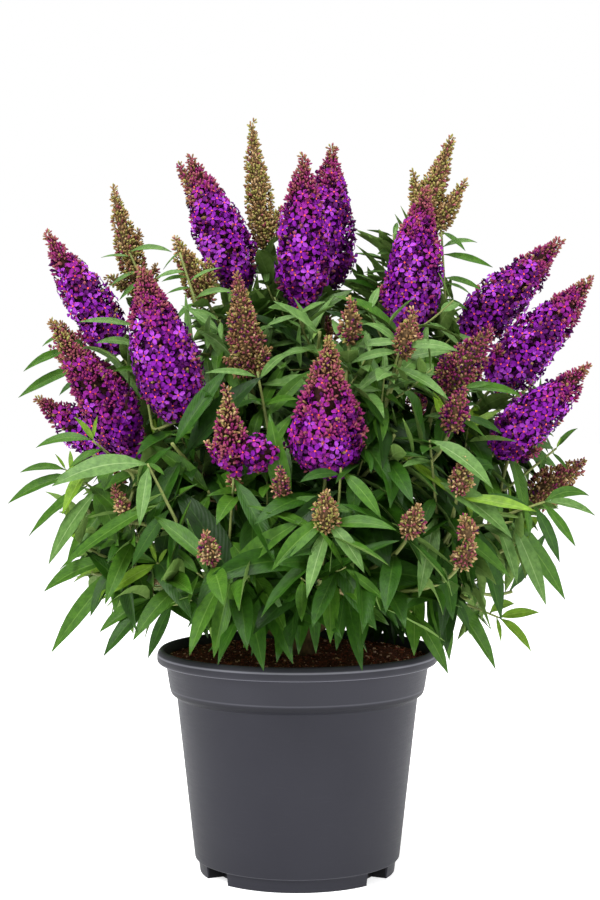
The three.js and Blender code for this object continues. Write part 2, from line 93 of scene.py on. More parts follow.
LENS, SENSOR = 78.3, 36
PITCH = np.radians(2.37)  # how far the camera looks down
EYE = np.array([2.2, -1600.0, 411.0])
camera = bpy.data.objects.new("camera", bpy.data.cameras.new("camera"))
camera.data.lens, camera.data.sensor_width = LENS, SENSOR
pointed(camera, EYE * MM, EYE * MM + [0, np.cos(PITCH), -np.sin(PITCH)])
bpy.context.scene.camera = camera
bpy.context.scene.view_settings.view_transform = "Standard"


# %% Floor and light
LAMPS = {"key_lamp": ((-1.3, -1.7, 2.1), (0, 0, 0.35), 1.1, 72),  # place and aim in metres, size, power
         "side_lamp": ((1.9, -1.0, 1.2), (0, 0, 0.3), 1.0, 20),
         "top_lamp": ((0.1, -0.2, 2.3), (0, 0, 0.4), 1.6, 44)}
ROOM_LIGHT, ROOM_SEEN = 0.45, 1.0  # how bright the room shines on the plant, and how bright it looks itself

for name, (place, aim, size, power) in LAMPS.items():
    light = bpy.data.lights.new(name, "AREA")
    light.size, light.energy = size, power
    pointed(bpy.data.objects.new(name, light), place, aim)

room = bpy.data.worlds.new("room")
room.use_nodes = True
nodes, link = room.node_tree.nodes, room.node_tree.links.new
lit, seen = nodes["Background"], nodes.new("ShaderNodeBackground")
for glow, strength in ((lit, ROOM_LIGHT), (seen, ROOM_SEEN)):
    glow.inputs["Color"].default_value = (1, 1, 1, 1)
    glow.inputs["Strength"].default_value = strength
either = nodes.new("ShaderNodeMixShader")
link(nodes.new("ShaderNodeLightPath").outputs["Is Camera Ray"], either.inputs[0])
link(lit.outputs[0], either.inputs[1])
link(seen.outputs[0], either.inputs[2])
link(either.outputs[0], nodes["World Output"].inputs[0])
bpy.context.scene.world = room

# %% [markdown]
# ## Making a mesh from arrays
#
# Each piece is one mesh, made straight from arrays of corners and faces. A shape that comes back many
# times, such as a floret, is worked out once and then copied with a frame of three directions for each
# copy. A round limb is a ring of points carried along a path.


# %% Mesh helpers
def unit(vectors):
    """Each vector over its own length."""
    return vectors / np.maximum(np.linalg.norm(vectors, axis=-1, keepdims=True), 1e-9)


def make_piece(name, corners, faces, finishes, kinds=None, maps=None, smooth=True, sharp=None):
    """A mesh object from corners in millimetres and arrays of faces with the same number of corners each.

    kinds gives each face's finish, maps each corner's place on the surface's own map, and
    sharp(first, second) says which edges between two corners stay sharp.
    """
    mesh = bpy.data.meshes.new(name)
    corners = np.asarray(corners, float).reshape(-1, 3)
    faces = [np.asarray(part) for part in faces]
    loops = np.concatenate([part.ravel() for part in faces]).astype(np.int32)
    sizes = np.concatenate([np.full(len(part), part.shape[1]) for part in faces])
    starts = np.concatenate([[0], np.cumsum(sizes)[:-1]]).astype(np.int32)
    mesh.vertices.add(len(corners))
    mesh.vertices.foreach_set("co", (corners * MM).astype(np.float32).ravel())
    mesh.loops.add(len(loops))
    mesh.loops.foreach_set("vertex_index", loops)
    mesh.polygons.add(len(sizes))
    mesh.polygons.foreach_set("loop_start", starts)
    mesh.polygons.foreach_set("use_smooth", np.full(len(sizes), smooth))
    for finish in finishes:
        mesh.materials.append(finish)
    if kinds is not None:
        mesh.polygons.foreach_set("material_index", np.asarray(kinds, np.int32))
    mesh.update(calc_edges=True)
    if maps is not None:
        layer = mesh.uv_layers.new(name="surface")
        layer.uv.foreach_set("vector", np.asarray(maps, np.float32)[loops].ravel())
    if sharp is not None:
        ends = np.empty(len(mesh.edges) * 2, np.int32)
        mesh.edges.foreach_get("vertices", ends)
        mark = mesh.attributes.new("sharp_edge", "BOOLEAN", "EDGE")
        mark.data.foreach_set("value", sharp(ends[::2], ends[1::2]))
    piece = bpy.data.objects.new(name, mesh)
    bpy.context.scene.collection.objects.link(piece)
    print(f"{name}: {int((sizes - 2).sum())} triangles")
    return piece


def stands_for(piece, slot, *nodes):
    """The piece rides on the plant's one body and stands for nodes, whose plain parts it hides; the slot is not used.
    """
    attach(piece, "root")
    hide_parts(*nodes)


# %% Copies, shells and frames
def copies(corners, faces, places, frames, scales):
    """A shape copied to many places: corner = place + scale * (x * first + y * second + z * third)."""
    sized = corners[None] * np.asarray(scales, float).reshape(len(places), -1, 1)
    moved = np.einsum("nvk,nkd->nvd", sized, frames) + places[:, None]
    steps = np.arange(len(places))[:, None, None] * len(corners)
    return moved.reshape(-1, 3), [(part[None] + steps).reshape(-1, part.shape[1]) for part in faces]


def shell(rows, around):
    """The faces of a pile of rings, closed by fans to the last two corners: a pole at each end."""
    row, spot = np.meshgrid(np.arange(rows - 1), np.arange(around), indexing="ij")
    low, after = row * around, (spot + 1) % around
    walls = np.stack([low + spot, low + after, low + around + after, low + around + spot], -1)
    spots = np.arange(around)
    nexts, foot, top = (spots + 1) % around, rows * around, (rows - 1) * around
    caps = np.concatenate([np.stack([nexts, spots, np.full(around, foot)], -1),
                           np.stack([top + spots, top + nexts, np.full(around, foot + 1)], -1)])
    return [walls.reshape(-1, 4), caps]


def joined(parts):
    """Several (corners, faces) put together as one, faces with the same number of corners in one array."""
    corners = np.concatenate([part[0] for part in parts])
    shifts = np.cumsum([0] + [len(part[0]) for part in parts])[:-1]
    found = {}
    for (_, faces), shift in zip(parts, shifts):
        for some in faces:
            found.setdefault(some.shape[1], []).append(some + shift)
    return corners, [np.concatenate(some) for _, some in sorted(found.items())]


def frames_along(ways, turns):
    """Frames whose third direction is each way, turned about it: first = a level direction turned."""
    ways = unit(ways)
    level = np.where(np.abs(ways[:, 2:]) > 0.95, [[1.0, 0, 0]], UP[None])
    first = unit(np.cross(level, ways))
    second = np.cross(ways, first)
    cos, sin = np.cos(turns)[:, None], np.sin(turns)[:, None]
    return np.stack([first * cos + second * sin, second * cos - first * sin, ways], 1)


# %% Limbs
def tube(path, radii, sides, relief=None):
    """A closed limb round a path: corner = path + radius(share, angle) * direction(angle)."""
    along = unit(np.gradient(path, axis=0))
    side = np.empty_like(path)
    seed = np.cross([0.0, 1.0, 0.0], along[0])
    side[0] = unit(seed if np.linalg.norm(seed) > 0.3 else np.array([1.0, 0, 0]))
    for i in range(1, len(path)):
        side[i] = unit(side[i - 1] - along[i] * (side[i - 1] @ along[i]))
    across = np.cross(along, side)
    angles = np.arange(sides) * 2 * np.pi / sides
    sizes = np.repeat(np.asarray(radii, float)[:, None], sides, 1)
    if relief is not None:
        sizes = sizes + relief(np.arange(len(path))[:, None], angles[None])
    cos, sin = np.cos(angles)[None, :, None], np.sin(angles)[None, :, None]
    rings = path[:, None] + sizes[..., None] * (cos * side[:, None] + sin * across[:, None])
    return np.concatenate([rings.reshape(-1, 3), path[:1], path[-1:]]), shell(len(path), sides)


# %% [markdown]
# ## Finishes that several materials share
#
# Real surfaces are never one flat colour. Three small groups of shader nodes do most of the work here,
# and each material places them with its own values: mottling mixes two colours by a noise, grain makes
# the height of a fine roughness, and leaf veins draw a midrib and its side veins on a leaf's own map.


# %% Shader groups
def group_of(name, inputs, outputs):
    """An empty shader group with named sockets; each is (name, kind) or (name, kind, value)."""
    group = bpy.data.node_groups.new(name, "ShaderNodeTree")
    for label, kind, *value in inputs:
        socket = group.interface.new_socket(label, in_out="INPUT", socket_type="NodeSocket" + kind)
        if value:
            socket.default_value = value[0]
    for label, kind in outputs:
        group.interface.new_socket(label, in_out="OUTPUT", socket_type="NodeSocket" + kind)
    start, end = group.nodes.new("NodeGroupInput"), group.nodes.new("NodeGroupOutput")
    return group, start.outputs, end.inputs


def feed(tree, socket, value):
    """Gives a socket a value, or links another node's output to it."""
    if isinstance(value, bpy.types.NodeSocket):
        tree.links.new(value, socket)
    else:
        socket.default_value = value


def node(tree, kind, settings=None, **inputs):
    """A node with its settings, and its inputs by name or as _0, _1, each a value or another node's output."""
    made = tree.nodes.new("ShaderNode" + kind)
    for key, value in (settings or {}).items():
        setattr(made, key, value)
    for key, value in inputs.items():
        numbered = key[0] == "_" and key[1:].isdigit()
        feed(tree, made.inputs[int(key[1:]) if numbered else key.replace("_", " ")], value)
    return made


def maths(tree, operation, first, second=0.0, third=0.0):
    """The result of a maths node."""
    return node(tree, "Math", {"operation": operation}, _0=first, _1=second, _2=third).outputs[0]


def mixed(tree, share, first, second):
    """Two colours mixed by a share."""
    return node(tree, "Mix", {"data_type": "RGBA"}, _0=share, _6=first, _7=second).outputs[2]


mottle, given, result = group_of(
    "mottling",
    [("One", "Color"), ("Other", "Color"), ("Place", "Vector"), ("Scale", "Float", 100.0)],
    [("Colour", "Color")])
noise = node(mottle, "TexNoise", Vector=given["Place"], Scale=given["Scale"], Detail=3.0).outputs[0]
spread = node(mottle, "MapRange", Value=noise, From_Min=0.35, From_Max=0.65).outputs[0]
mottle.links.new(mixed(mottle, spread, given["One"], given["Other"]), result["Colour"])

grain, given, result = group_of(
    "grain",
    [("Place", "Vector"), ("Scale", "Float", 800.0),
     ("Coarse Scale", "Float", 100.0), ("Coarse Share", "Float", 0.5)],
    [("Height", "Float")])
fine = node(grain, "TexNoise", Vector=given["Place"], Scale=given["Scale"], Detail=2.0).outputs[0]
coarse = node(grain, "TexNoise", Vector=given["Place"], Scale=given["Coarse Scale"], Detail=2.0).outputs[0]
grain.links.new(maths(grain, "MULTIPLY_ADD", coarse, given["Coarse Share"], fine), result["Height"])

veins, given, result = group_of(
    "leaf veins",
    [("Map", "Vector"), ("Pairs", "Float", 17.0), ("Slant", "Float", 3.4), ("Width", "Float", 0.2)],
    [("Midrib", "Float"), ("Veins", "Float"), ("Height", "Float")])
RIB_EDGE, RIB_END = 0.02, 0.09  # the midrib fades out between these shares of the half width
VEIN_BEND, QUILT, RIB_DEPTH = 1.25, 1.6, -0.8
parts = node(veins, "SeparateXYZ", Vector=given["Map"]).outputs
from_rib = maths(veins, "ABSOLUTE", maths(veins, "MULTIPLY_ADD", parts[0], 2.0, -1.0))
bent = maths(veins, "POWER", from_rib, VEIN_BEND)
phase = maths(veins, "SUBTRACT", maths(veins, "MULTIPLY", parts[1], given["Pairs"]),
              maths(veins, "MULTIPLY", bent, given["Slant"]))
from_vein = maths(veins, "PINGPONG", phase, 0.5)
SOFT = {"interpolation_type": "SMOOTHSTEP"}
line = node(veins, "MapRange", SOFT, Value=from_vein, From_Min=0.0, From_Max=given["Width"],
            To_Min=1.0, To_Max=0.0).outputs[0]
rib = node(veins, "MapRange", SOFT, Value=from_rib, From_Min=RIB_EDGE, From_Max=RIB_END,
           To_Min=1.0, To_Max=0.0).outputs[0]
quilt = maths(veins, "MULTIPLY_ADD", from_vein, QUILT, maths(veins, "MULTIPLY", rib, RIB_DEPTH))
for name, value in (("Midrib", rib), ("Veins", line), ("Height", quilt)):
    veins.links.new(value, result[name])


# %% Material helpers
def linear(red, green, blue):
    """A colour as seen on a screen, 0 to 255, as the light that it stands for."""
    seen = np.array([red, green, blue]) / 255
    light = np.where(seen <= 0.04045, seen / 12.92, ((seen + 0.055) / 1.055) ** 2.4)
    return (*light, 1.0)


def use(tree, group, **inputs):
    """A shader group placed in a material with its own values."""
    return node(tree, "Group", {"node_tree": group}, **inputs).outputs


def new_finish(name, roughness, **constants):
    """A material with a Principled surface; returns it, its tree, its surface and its object coordinates."""
    finish = bpy.data.materials.new(name)
    finish.use_nodes = True
    tree = finish.node_tree
    surface = tree.nodes["Principled BSDF"]
    surface.inputs["Roughness"].default_value = roughness
    for key, value in constants.items():
        surface.inputs[key.replace("_", " ")].default_value = value
    place = tree.nodes.new("ShaderNodeTexCoord").outputs["Object"]
    return finish, tree, surface, place


def relief(tree, surface, height, distance):
    """A bump from a height, in metres, put on a surface."""
    bump = node(tree, "Bump", Height=height, Distance=distance, Strength=1.0)
    tree.links.new(bump.outputs[0], surface.inputs["Normal"])


def plain_finish(name, one, other, roughness, scale, grain_scale, depth, **constants):
    """A mottled, slightly grainy finish, as of petals, buds, stems, bark or compost."""
    finish, tree, surface, place = new_finish(name, roughness, **constants)
    colour = use(tree, mottle, One=linear(*one), Other=linear(*other), Place=place, Scale=scale)["Colour"]
    tree.links.new(colour, surface.inputs["Base Color"])
    rough = use(tree, grain, Place=place, Scale=grain_scale, Coarse_Scale=grain_scale / 5)["Height"]
    relief(tree, surface, rough, depth)
    return finish


FLOOR_HALF = 9000
floor_finish = plain_finish("pale_floor", (250, 250, 250), (247, 247, 248), 0.9, 3.0, 90.0, 0.0004,
                            Emission_Color=(1, 1, 1, 1), Emission_Strength=0.66, Specular_IOR_Level=0.1)
floor = make_piece("floor", np.array([[-1, -1, 0], [1, -1, 0], [1, 1, 0], [-1, 1, 0]]) * FLOOR_HALF,
                   [np.array([[0, 1, 2, 3]])], [floor_finish], smooth=False)
floor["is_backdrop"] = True

# %% [markdown]
# ## The pot
#
# A nursery pot is moulded in one go from dark grey plastic: a smooth tapering wall, a wider band below
# a rolled lip, and a foot ring with four gaps that let water out. A turned shape would do but for the
# gaps, so the outline depends on two parameters, the place along the profile and the angle: where there
# is a gap, the foot's underside is lifted to the wall behind an upright step.

# %% Pot
POT = {"height": 183, "rim": 115, "lip_inner": 109.4, "lip_under": 171.6, "band_top": 107.9, "band_foot": 104.6,
       "band_foot_height": 150.5, "wall_top": 98.8, "wall_top_height": 143.6, "wall_foot": 84.3,
       "foot_top": 10.8, "foot": 80, "skin": 1.8}
DRAINS, DRAIN_WIDE = (53.7, 126.3, 233.7, 306.3), 20  # the turns of the gaps and how wide they are, in degrees
DRAIN_INNER, DRAIN_EDGE = 67, 0.12  # the radius of a gap's inner wall, and half the turn that its side takes
POT_SIDES, CORNER = 216, 1.1


def rounded(points, radius, steps=4):
    """A profile with its corners rounded: each corner becomes a curve between two points beside it."""
    points = np.asarray(points, float)
    out = [points[:1]]
    for before, corner, after in zip(points, points[1:], points[2:]):
        room_before, room_after = np.linalg.norm(corner - before), np.linalg.norm(after - corner)
        reach = min(radius, room_before * 0.45, room_after * 0.45)
        first = corner + (before - corner) / room_before * reach
        last = corner + (after - corner) / room_after * reach
        t = np.linspace(0, 1, steps)[:, None]
        out.append(first * (1 - t) ** 2 + corner * 2 * t * (1 - t) + last * t ** 2)
    return np.concatenate(out + [points[-1:]])


def turned(profile, sides, drained):
    """A closed turned shape: corner = (radius sin a, -radius cos a, height), a pole at each end.

    drained(ring) gives the places on the profile inside the gaps of the foot ring.
    """
    edges = np.array([[turn - DRAIN_WIDE / 2, turn + DRAIN_WIDE / 2] for turn in DRAINS])
    beside = np.concatenate([edges - DRAIN_EDGE, edges + DRAIN_EDGE]).ravel()
    angles = np.sort(np.concatenate([np.linspace(0, 360, sides, endpoint=False), beside]))
    gap = np.any([(angles > low) & (angles < high) for low, high in edges], axis=0)
    turns = np.radians(angles)
    ring = np.repeat(np.asarray(profile, float)[1:-1, None], len(turns), 1)
    ring[:, gap] = drained(ring[:, gap])
    radius, height = ring[..., 0], ring[..., 1]
    body = np.stack([radius * np.sin(turns), -radius * np.cos(turns), height], -1)
    poles = np.array([[0, 0, profile[0][1]], [0, 0, profile[-1][1]]])
    return np.concatenate([body.reshape(-1, 3), poles]), shell(len(body), len(turns))


# %% The pot's profile
def lifted_foot(ring):
    """Inside a gap the foot ring is lifted to the wall, and its inner corner stands on the inner radius."""
    radius, height = ring[..., 0].copy(), ring[..., 1].copy()
    outside = (height < POT["foot_top"]) & (radius > DRAIN_INNER)
    step = outside & (height < 0.01) & (radius < POT["foot"] - 4)
    height[outside] = POT["foot_top"]
    radius[step] = DRAIN_INNER
    return np.stack([radius, height], -1)


skin = POT["skin"]
outer = [(0, 0), (DRAIN_INNER, 0), (DRAIN_INNER + 0.4, 0), (POT["foot"], 0),
         (POT["foot"] + 1.4, POT["foot_top"] - 0.3), (POT["wall_foot"] - 0.2, POT["foot_top"] + 0.4),
         (POT["wall_top"], POT["wall_top_height"]), (POT["band_foot"] - 1.2, POT["band_foot_height"] - 3.6),
         (POT["band_foot"], POT["band_foot_height"] + 0.6), (POT["band_top"], POT["lip_under"] + 0.2),
         (POT["rim"] - 1.4, POT["lip_under"] + 0.2),
         (POT["rim"] - 0.1, POT["lip_under"] + 1.8), (POT["rim"] - 0.1, POT["height"] - 5.0),
         (POT["rim"] - 1.0, POT["height"] - 2.4), (POT["rim"] - 2.8, POT["height"] - 0.4)]
inner = [(POT["lip_inner"] + 1.2, POT["height"]), (POT["lip_inner"], POT["height"] - 1.2),
         (POT["lip_inner"] - 1.4, POT["lip_under"] + 1), (POT["band_top"] - skin, POT["lip_under"] - 2),
         (POT["band_foot"] - skin, POT["band_foot_height"] + 1), (POT["wall_top"] - skin, POT["wall_top_height"] + 1),
         (POT["wall_foot"] - skin, POT["foot_top"] + 4), (DRAIN_INNER - 4, POT["foot_top"] + 3),
         (DRAIN_INNER - 4, skin), (0, skin)]
pot_profile = np.concatenate([np.array(outer[:3]), rounded(outer[3:] + inner[:4], CORNER), np.array(inner[4:])])
print(len(pot_profile), "rings in the pot's profile")


# %% [markdown]
# The plastic is dark grey with a satin sheen. Its colour drifts a little, the mould left a very fine
# grain, and handling left pale dust and small scuffs, so two noises change the colour and the gloss.
# Thin painted highlights run along the edges of the lip, the band and the foot, the band and the lip
# are painted paler as painted light, a painted shadow lies under the band, and the gaps of the foot are
# painted with dark shade. Object coordinates are in metres, so the heights and radii here are too.

# %% Pot plastic
LIP_OUT, WALL_OUT, FOOT_OUT = 0.1108, 0.095, 0.0797  # the outside of each part lies beyond this radius
# The heights of the band and the lip, which are painted paler as painted light.
BAND_LOW, BAND_HIGH, LIP_LOW = 0.15, 0.1722, 0.1716
# The gaps of the foot are painted with dark shade: their radii, their heights and how strongly.
GAP_RADII, GAP_HEIGHTS, GAP_SHADE = (0.0660, 0.0793), (0.0003, 0.0106), 0.94
SHADE_HEIGHT, SHADE_HALF, SHADE_SHARE = 0.1468, 0.0040, 0.42  # the soft dark line under the band
# How strongly the painted highlights on the edges show.
HIGHLIGHT_SHARE = 0.85

pot_finish, tree, surface, place = new_finish("dark_grey_plastic", 0.5, Specular_IOR_Level=0.13)
cloudy = use(tree, mottle, One=linear(42, 42, 49), Other=linear(46, 46, 53), Place=place, Scale=9.0)["Colour"]
scuffs = node(tree, "TexNoise", Vector=node(tree, "Mapping", Vector=place, Scale=(60, 60, 900)).outputs[0],
              Scale=1.0, Detail=2.0).outputs[0]
scuffed = node(tree, "MapRange", Value=scuffs, From_Min=0.62, From_Max=0.8, To_Max=0.25).outputs[0]
up = node(tree, "SeparateXYZ", Vector=place).outputs[2]
level = node(tree, "VectorMath", {"operation": "MULTIPLY"}, _0=place, _1=(1, 1, 0)).outputs[0]
away = node(tree, "VectorMath", {"operation": "LENGTH"}, _0=level).outputs["Value"]


def beyond(value, low):
    """1 where a value is more than another, else 0."""
    return maths(tree, "GREATER_THAN", value, low)


def inside(value, low, high):
    """1 where a value lies between two others, else 0."""
    return maths(tree, "MULTIPLY", beyond(value, low), maths(tree, "LESS_THAN", value, high))


def line_at(height, half, radius, share):
    """A share at a height beyond a radius, fading to 0 at half a line's width from it."""
    off = maths(tree, "ABSOLUTE", maths(tree, "SUBTRACT", up, height))
    near = node(tree, "MapRange", Value=off, From_Min=half * 0.4, From_Max=half, To_Min=share, To_Max=0.0).outputs[0]
    return maths(tree, "MULTIPLY", near, beyond(away, radius))


def strongest(shares):
    """The largest of several shares."""
    first, *rest = shares
    for share in rest:
        first = maths(tree, "MAXIMUM", first, share)
    return first


# The painted highlights along the edges of the lip, the band and the foot: height, half their width, the radius that
# they lie beyond, and their share.
HIGHLIGHT_LINES = ((0.1784, 0.0010, LIP_OUT, 1.0), (0.1721, 0.0006, LIP_OUT, 0.6),
        (0.1512, 0.0008, WALL_OUT, 0.2), (0.0110, 0.0006, FOOT_OUT, 0.4))
on_lip = maths(tree, "MULTIPLY", beyond(up, LIP_LOW), beyond(away, LIP_OUT))
# Inside the gaps of the foot, where the painted shade goes.
in_gap = maths(tree, "MULTIPLY", inside(up, *GAP_HEIGHTS), inside(away, *GAP_RADII))
shaded = strongest([line_at(SHADE_HEIGHT, SHADE_HALF, WALL_OUT, SHADE_SHARE),
                    maths(tree, "MULTIPLY", in_gap, GAP_SHADE)])
painted_highlight = maths(tree, "MULTIPLY", strongest([line_at(*row) for row in HIGHLIGHT_LINES]), HIGHLIGHT_SHARE)
colour = mixed(tree, scuffed, cloudy, linear(60, 60, 66))
# The band and the lip are painted paler: painted light on the upper part of the pot.
colour = mixed(tree, strongest([inside(up, BAND_LOW, BAND_HIGH), on_lip]), colour, linear(50, 50, 57))
# The painted shadow under the band and the painted shade in the gaps of the foot darken the colour.
colour = mixed(tree, shaded, colour, linear(13, 13, 15))
# The edges of the lip, the band and the foot take the painted highlights.
tree.links.new(mixed(tree, painted_highlight, colour, linear(120, 120, 129)), surface.inputs["Base Color"])
gloss = node(tree, "MapRange", Value=scuffs, To_Min=0.42, To_Max=0.58).outputs[0]
tree.links.new(gloss, surface.inputs["Roughness"])
rough = use(tree, grain, Place=place, Scale=2400.0, Coarse_Scale=60.0, Coarse_Share=1.5)["Height"]
relief(tree, surface, rough, 0.00006)

pot_corners, pot_faces = turned(pot_profile, POT_SIDES, lifted_foot)
POT_ROWS = len(pot_profile) - 2
CREASED_ROWS = 8


def creased(first, second):
    """Edges at the gaps of the foot ring stay sharp."""
    count = len(pot_corners) - 2
    rows = np.minimum(first, second) // (count // POT_ROWS)
    low = pot_profile[1:-1][np.minimum(rows, POT_ROWS - 1), 1] < POT["foot_top"] - 1
    return (first < count) & (second < count) & low & (rows < CREASED_ROWS)


pot = make_piece("nursery_pot", pot_corners, pot_faces, [pot_finish], sharp=creased)
stands_for(pot, "pot", "pot")

# %% [markdown]
# ## The compost
#
# Potting compost is a loose, dark red-brown crumb of bark and peat with a few pale fibres. The surface
# is a low dome whose height is shaken by a sum of waves, and thousands of small crumbs lie half sunk in it.

# %% Compost surface
EDGE, LEVEL, UNDER = 107.4, 172.0, 2.2  # the compost's radius, its height at the wall and its underside
DOME_HIGH, DOME_FALL = 6.0, 3.0
# The compost below its surface: the radius and height of each ring down the pot's inside.
SKIRT = [(104.2, 158), (102.0, 150.5), (96.2, 143.5), (82.0, 16), (62.4, 14), (62.4, UNDER)]
DULL = {"Specular_IOR_Level": 0.12}
rng = np.random.default_rng(SEED)


def waves(points, length, count, draw):
    """A bumpy value from -1 to 1: the mean of many cosine waves of about one length in random directions."""
    ways = draw.normal(size=(count, points.shape[-1]))
    ways = unit(ways) * (2 * np.pi / (length * draw.uniform(0.7, 1.4, (count, 1))))
    return np.cos(points @ ways.T + draw.uniform(0, 2 * np.pi, count)).sum(-1) / np.sqrt(count) * 0.8


def ground(x, y):
    """The compost's height: a low dome, sunk at the wall, with large and small unevenness."""
    out = np.clip(np.hypot(x, y) / EDGE, 0, 1)
    spot = np.stack([x, y], -1)
    draw = np.random.default_rng(SEED + 1)
    rough = 0.9 * waves(spot, 30, 12, draw) + 0.7 * waves(spot, 7, 16, draw) + 0.4 * waves(spot, 2.6, 16, draw)
    return LEVEL + DOME_HIGH - DOME_FALL * out ** 3 + rough * np.clip((1 - out) * 9, 0.25, 1)


turns = np.linspace(0, 2 * np.pi, 200, endpoint=False)
grid_radius, grid_turn = np.meshgrid(np.linspace(2, EDGE - 0.6, 74), turns, indexing="ij")
x, y = grid_radius * np.sin(grid_turn), -grid_radius * np.cos(grid_turn)
top = np.stack([x, y, ground(x, y)], -1)
skirt = np.stack([np.stack([r * np.sin(turns), -r * np.cos(turns), np.full_like(turns, h)], -1) for r, h in SKIRT])
rings = np.concatenate([top, skirt])[::-1]
poles = np.array([[0, 0, UNDER], [0, 0, LEVEL + 5.0]])
corners, faces = np.concatenate([rings.reshape(-1, 3), poles]), shell(*rings.shape[:2])

soil_finish = plain_finish("damp_compost", (104, 60, 49), (66, 36, 29), 0.95, 420.0, 1500.0, 0.0012, **DULL)
compost = make_piece("compost_bed", corners, faces, [soil_finish])
stands_for(compost, "compost", "compost")

# %% Crumbs
CRUMBS, CRUMB_SHARES = 5600, (0.48, 0.38, 0.14)
crumb_corners = unit(np.array([[x, y, z] for x in (-1, 1) for y in (-1, 1) for z in (-1, 1)], float))
crumb_faces = np.array([[0, 1, 3, 2], [4, 6, 7, 5], [0, 4, 5, 1], [2, 3, 7, 6], [0, 2, 6, 4], [1, 5, 7, 3]])
reach = np.sqrt(rng.uniform(0.01, 1, CRUMBS)) * (EDGE - 1.4)
around_at = rng.uniform(0, 2 * np.pi, CRUMBS)
x, y = reach * np.sin(around_at), -reach * np.cos(around_at)
size = rng.gamma(3.0, 0.19, CRUMBS).clip(0.3, 1.5)
stretch = np.stack([size * rng.uniform(0.8, 2.4, CRUMBS), size, size * rng.uniform(0.5, 1, CRUMBS)], -1)
places = np.stack([x, y, ground(x, y) + 0.15 * size], -1)
ways = unit(rng.normal(size=(CRUMBS, 3)) + [0, 0, 1.2])
frames = frames_along(ways, rng.uniform(0, ROUND, CRUMBS))
corners, faces = copies(crumb_corners, [crumb_faces], places, frames, np.ones(CRUMBS))
corners, middle = corners.reshape(CRUMBS, 8, 3), places[:, None]
uneven = rng.uniform(0.75, 1.2, (CRUMBS, 8, 1))
frames = frames_along(ways, np.zeros(CRUMBS))
local = np.einsum("nvd,nkd->nvk", corners - middle, frames) * stretch[:, None] * uneven
corners = (np.einsum("nvk,nkd->nvd", local, frames) + middle).reshape(-1, 3)
crumb_finishes = [
    plain_finish("dark_crumb", (114, 68, 56), (74, 42, 35), 0.9, 300.0, 1800.0, 0.0006, **DULL),
    plain_finish("red_crumb", (160, 90, 72), (118, 61, 48), 0.9, 300.0, 1800.0, 0.0006, **DULL),
    plain_finish("tan_fibre", (228, 188, 164), (188, 144, 120), 0.85, 300.0, 1800.0, 0.0004, **DULL)]
kinds = np.repeat(rng.choice(3, CRUMBS, p=CRUMB_SHARES), len(crumb_faces))
crumbs = make_piece("compost_crumbs", corners, faces, crumb_finishes, kinds, smooth=False)
stands_for(crumbs, "compost", "compost")

# %% [markdown]
# ## How the plant grows
#
# The plain model grows by a rule, and the fine one grows by the same rule, written again here. A mass of
# the crown is one stem that sets off from the stump, and shoots that fork off it. A mass says whether
# another one behind the plant answers it, and has a row for the tip of each shoot: what it carries, its
# turn round the pot's axis (0 in front, 90 on the right), its distance out, its height, its lean
# outwards, and the length and radius of its spike.

